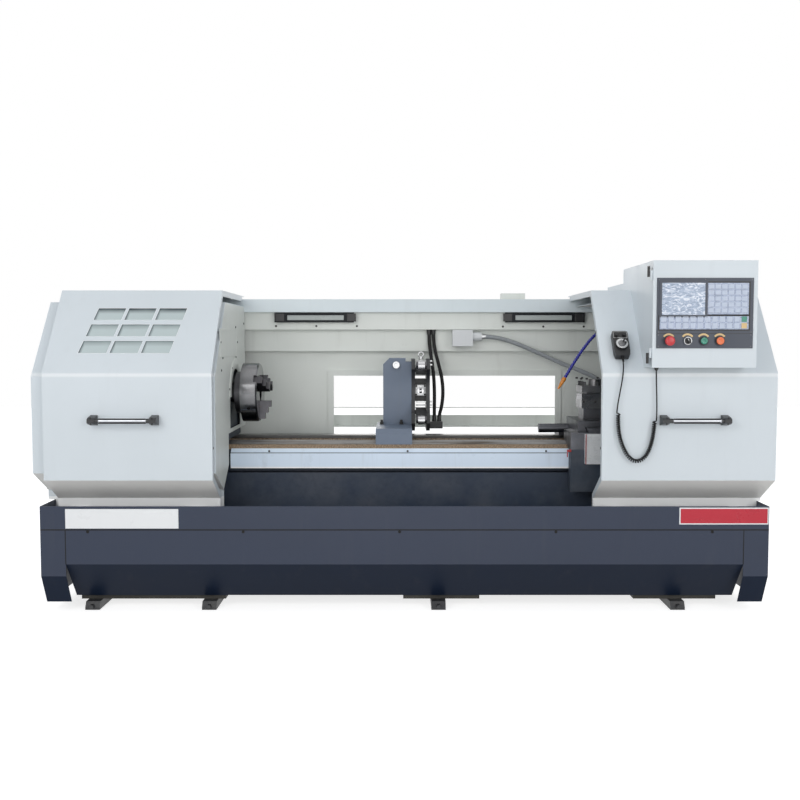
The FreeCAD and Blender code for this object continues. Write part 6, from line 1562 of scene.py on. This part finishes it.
class LATHE_OT_rear_fittings(bpy.types.Operator):
    """Fit the rear covers' screws and seam battens"""

    bl_idname = "lathe.rear_fittings"
    bl_label = "Rear fittings"

    def execute(self, context):
        head = sizes().screw
        places = [(x, 0.424, 1.555) for x in (-0.70, -0.20, 0.30, 0.80, 1.30, 1.70)]
        screws("guard_screws", places, "+Y", head, 0.0030)
        battens = []
        for x in (-0.600, 0.960):
            batten = block("seam_batten", (x - 0.016, 0.4235, 0.560),
                           (x + 0.016, 0.4262, 1.570), 0.0008)
            battens.append(dish(batten, (0, 1, 0), 0.004, -0.0006))
        fit(joined(battens, "seam_battens"), "guard_coat", "frame")
        screws("batten_screws", [(x, 0.4268, z) for x in (-0.600, 0.960)
                                 for z in (0.620, 0.860, 1.100, 1.340, 1.540)], "+Y",
               head * BATTEN_SCREW, 0.0026)
        for name, corner, side, way, inward in (
                ("headstock_cover", 0, "left", "-X", 0.003),
                ("tailstock_cover", 1, "right", "+X", -0.003)):
            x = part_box(name)[corner].x + inward
            places = [(x, y, z) for y in (-0.40, 0.30) for z in (0.60, 1.10)]
            screws("end_screws_" + side, places, way, head, 0.0030)
        return {"FINISHED"}


class LATHE_OT_window_frames(bpy.types.Operator):
    """Fit a thin raised gasket round each window of the left door"""

    bl_idname = "lathe.window_frames"
    bl_label = "Window gaskets"

    def execute(self, context):
        width, height = PANE_WIDTH, PANE_HEIGHT
        lean = PANE_SHIFT * height / PANE_PITCH
        deselect()
        bpy.ops.mesh.primitive_plane_add(size=1, location=(width / 2, height / 2, 0))
        gasket = context.object
        gasket.name = "window_gaskets"
        gasket.scale = (width, height, 1)
        settle(gasket)
        bpy.ops.object.mode_set(mode="EDIT")
        bpy.ops.mesh.select_mode(type="VERT")
        form = bmesh.from_edit_mesh(gasket.data)
        for corner in form.verts:
            corner.select = corner.co.y > height / 2
        bmesh.update_edit_mesh(gasket.data)
        bpy.ops.transform.translate(value=(lean, 0, 0))
        bpy.ops.mesh.select_mode(type="FACE")
        bpy.ops.mesh.select_all(action="SELECT")
        bpy.ops.mesh.inset(thickness=0.0032, depth=0)
        bpy.ops.mesh.delete(type="FACE")
        bpy.ops.mesh.select_all(action="SELECT")
        bpy.ops.mesh.extrude_region_move(TRANSFORM_OT_translate={"value": (0, 0, 0.0012)})
        bpy.ops.mesh.select_all(action="SELECT")
        bpy.ops.mesh.normals_make_consistent(inside=False)
        bpy.ops.object.mode_set(mode="OBJECT")
        rounded(gasket, 0.0005)
        places = [(PANE_LEFT + PANE_SHIFT * row + PANE_COLUMN * column,
                   PANE_LOW + PANE_PITCH * row, -0.0002)
                  for row in range(3) for column in range(3)]
        whole = laid(spread(gasket, "window_gaskets", places), on_slope(0, 0))
        # The gaskets' pale finish is a painted highlight round each pane.
        fit(whole, "gasket_painted_highlight", "left_door")
        return {"FINISHED"}


class LATHE_OT_handle_screws(bpy.types.Operator):
    """Fit the cap screws of the door handles"""

    bl_idname = "lathe.handle_screws"
    bl_label = "Handle screws"

    def execute(self, context):
        for name, body in (("left_door_handle", "left_door"),
                           ("right_door_handle", "right_door")):
            low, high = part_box(name)
            middle = (low.z + high.z) / 2
            caps = []
            for x in (low.x + 0.018, high.x - 0.018):
                for z in (middle - 0.014, middle + 0.014):
                    caps.append(turned("handle_cap", (x, low.y + 0.001, z), (0, -1, 0), [
                        (-0.002, 0.0050), (0.0002, 0.0050), (0.0010, 0.0042),
                        (0.0012, 0.0030), (0.0002, 0.0026)], 20))
            fit(joined(caps, name + "_caps"), "black_plastic", body)
            strips = [block("handle_strip", (low.x + 0.054, low.y + 0.0015, z - 0.0016),
                            (high.x - 0.050, low.y + 0.0130, z + 0.0016), 0.0006)
                      for z in (middle - 0.0105, middle + 0.0105)]
            fit(joined(strips, name + "_strips"), "rubber", body)
        return {"FINISHED"}


STEPS = [LATHE_OT_stage, LATHE_OT_finishes, LATHE_OT_pendant_cord, LATHE_OT_conduit,
         LATHE_OT_coolant_line, LATHE_OT_steady_hoses, LATHE_OT_steady_trim,
         LATHE_OT_lamps, LATHE_OT_cover_screws, LATHE_OT_base_plates,
         LATHE_OT_operator_panel, LATHE_OT_buttons, LATHE_OT_panel_hinges,
         LATHE_OT_pendant_face, LATHE_OT_slide_fittings, LATHE_OT_cabinet_fittings,
         LATHE_OT_rear_fittings, LATHE_OT_window_frames, LATHE_OT_handle_screws]


class LATHE_PT_dressing(bpy.types.Panel):
    """The steps that dress the lathe, and the colours and sizes that they use"""

    bl_idname = "LATHE_PT_dressing"
    bl_label = "Lathe"
    bl_space_type = "VIEW_3D"
    bl_region_type = "UI"
    bl_category = "Lathe"

    def draw(self, context):
        column = self.layout.column(align=True)
        for step in STEPS:
            column.operator(step.bl_idname)
        for group in (context.scene.lathe_colours, context.scene.lathe_sizes):
            rows = self.layout.box().column(align=True)
            for name in group.__annotations__:
                rows.prop(group, name)


def register():
    for kind in (LatheColours, LatheSizes, *STEPS, LATHE_PT_dressing):
        bpy.utils.register_class(kind)
    bpy.types.Scene.lathe_colours = bpy.props.PointerProperty(type=LatheColours)
    bpy.types.Scene.lathe_sizes = bpy.props.PointerProperty(type=LatheSizes)


def unregister():
    del bpy.types.Scene.lathe_sizes
    del bpy.types.Scene.lathe_colours
    for kind in reversed((LatheColours, LatheSizes, *STEPS, LATHE_PT_dressing)):
        bpy.utils.unregister_class(kind)


def main():
    register()
    for step in STEPS:
        area, name = step.bl_idname.split(".")
        getattr(getattr(bpy.ops, area), name)()


if __name__ == "__main__":
    main()
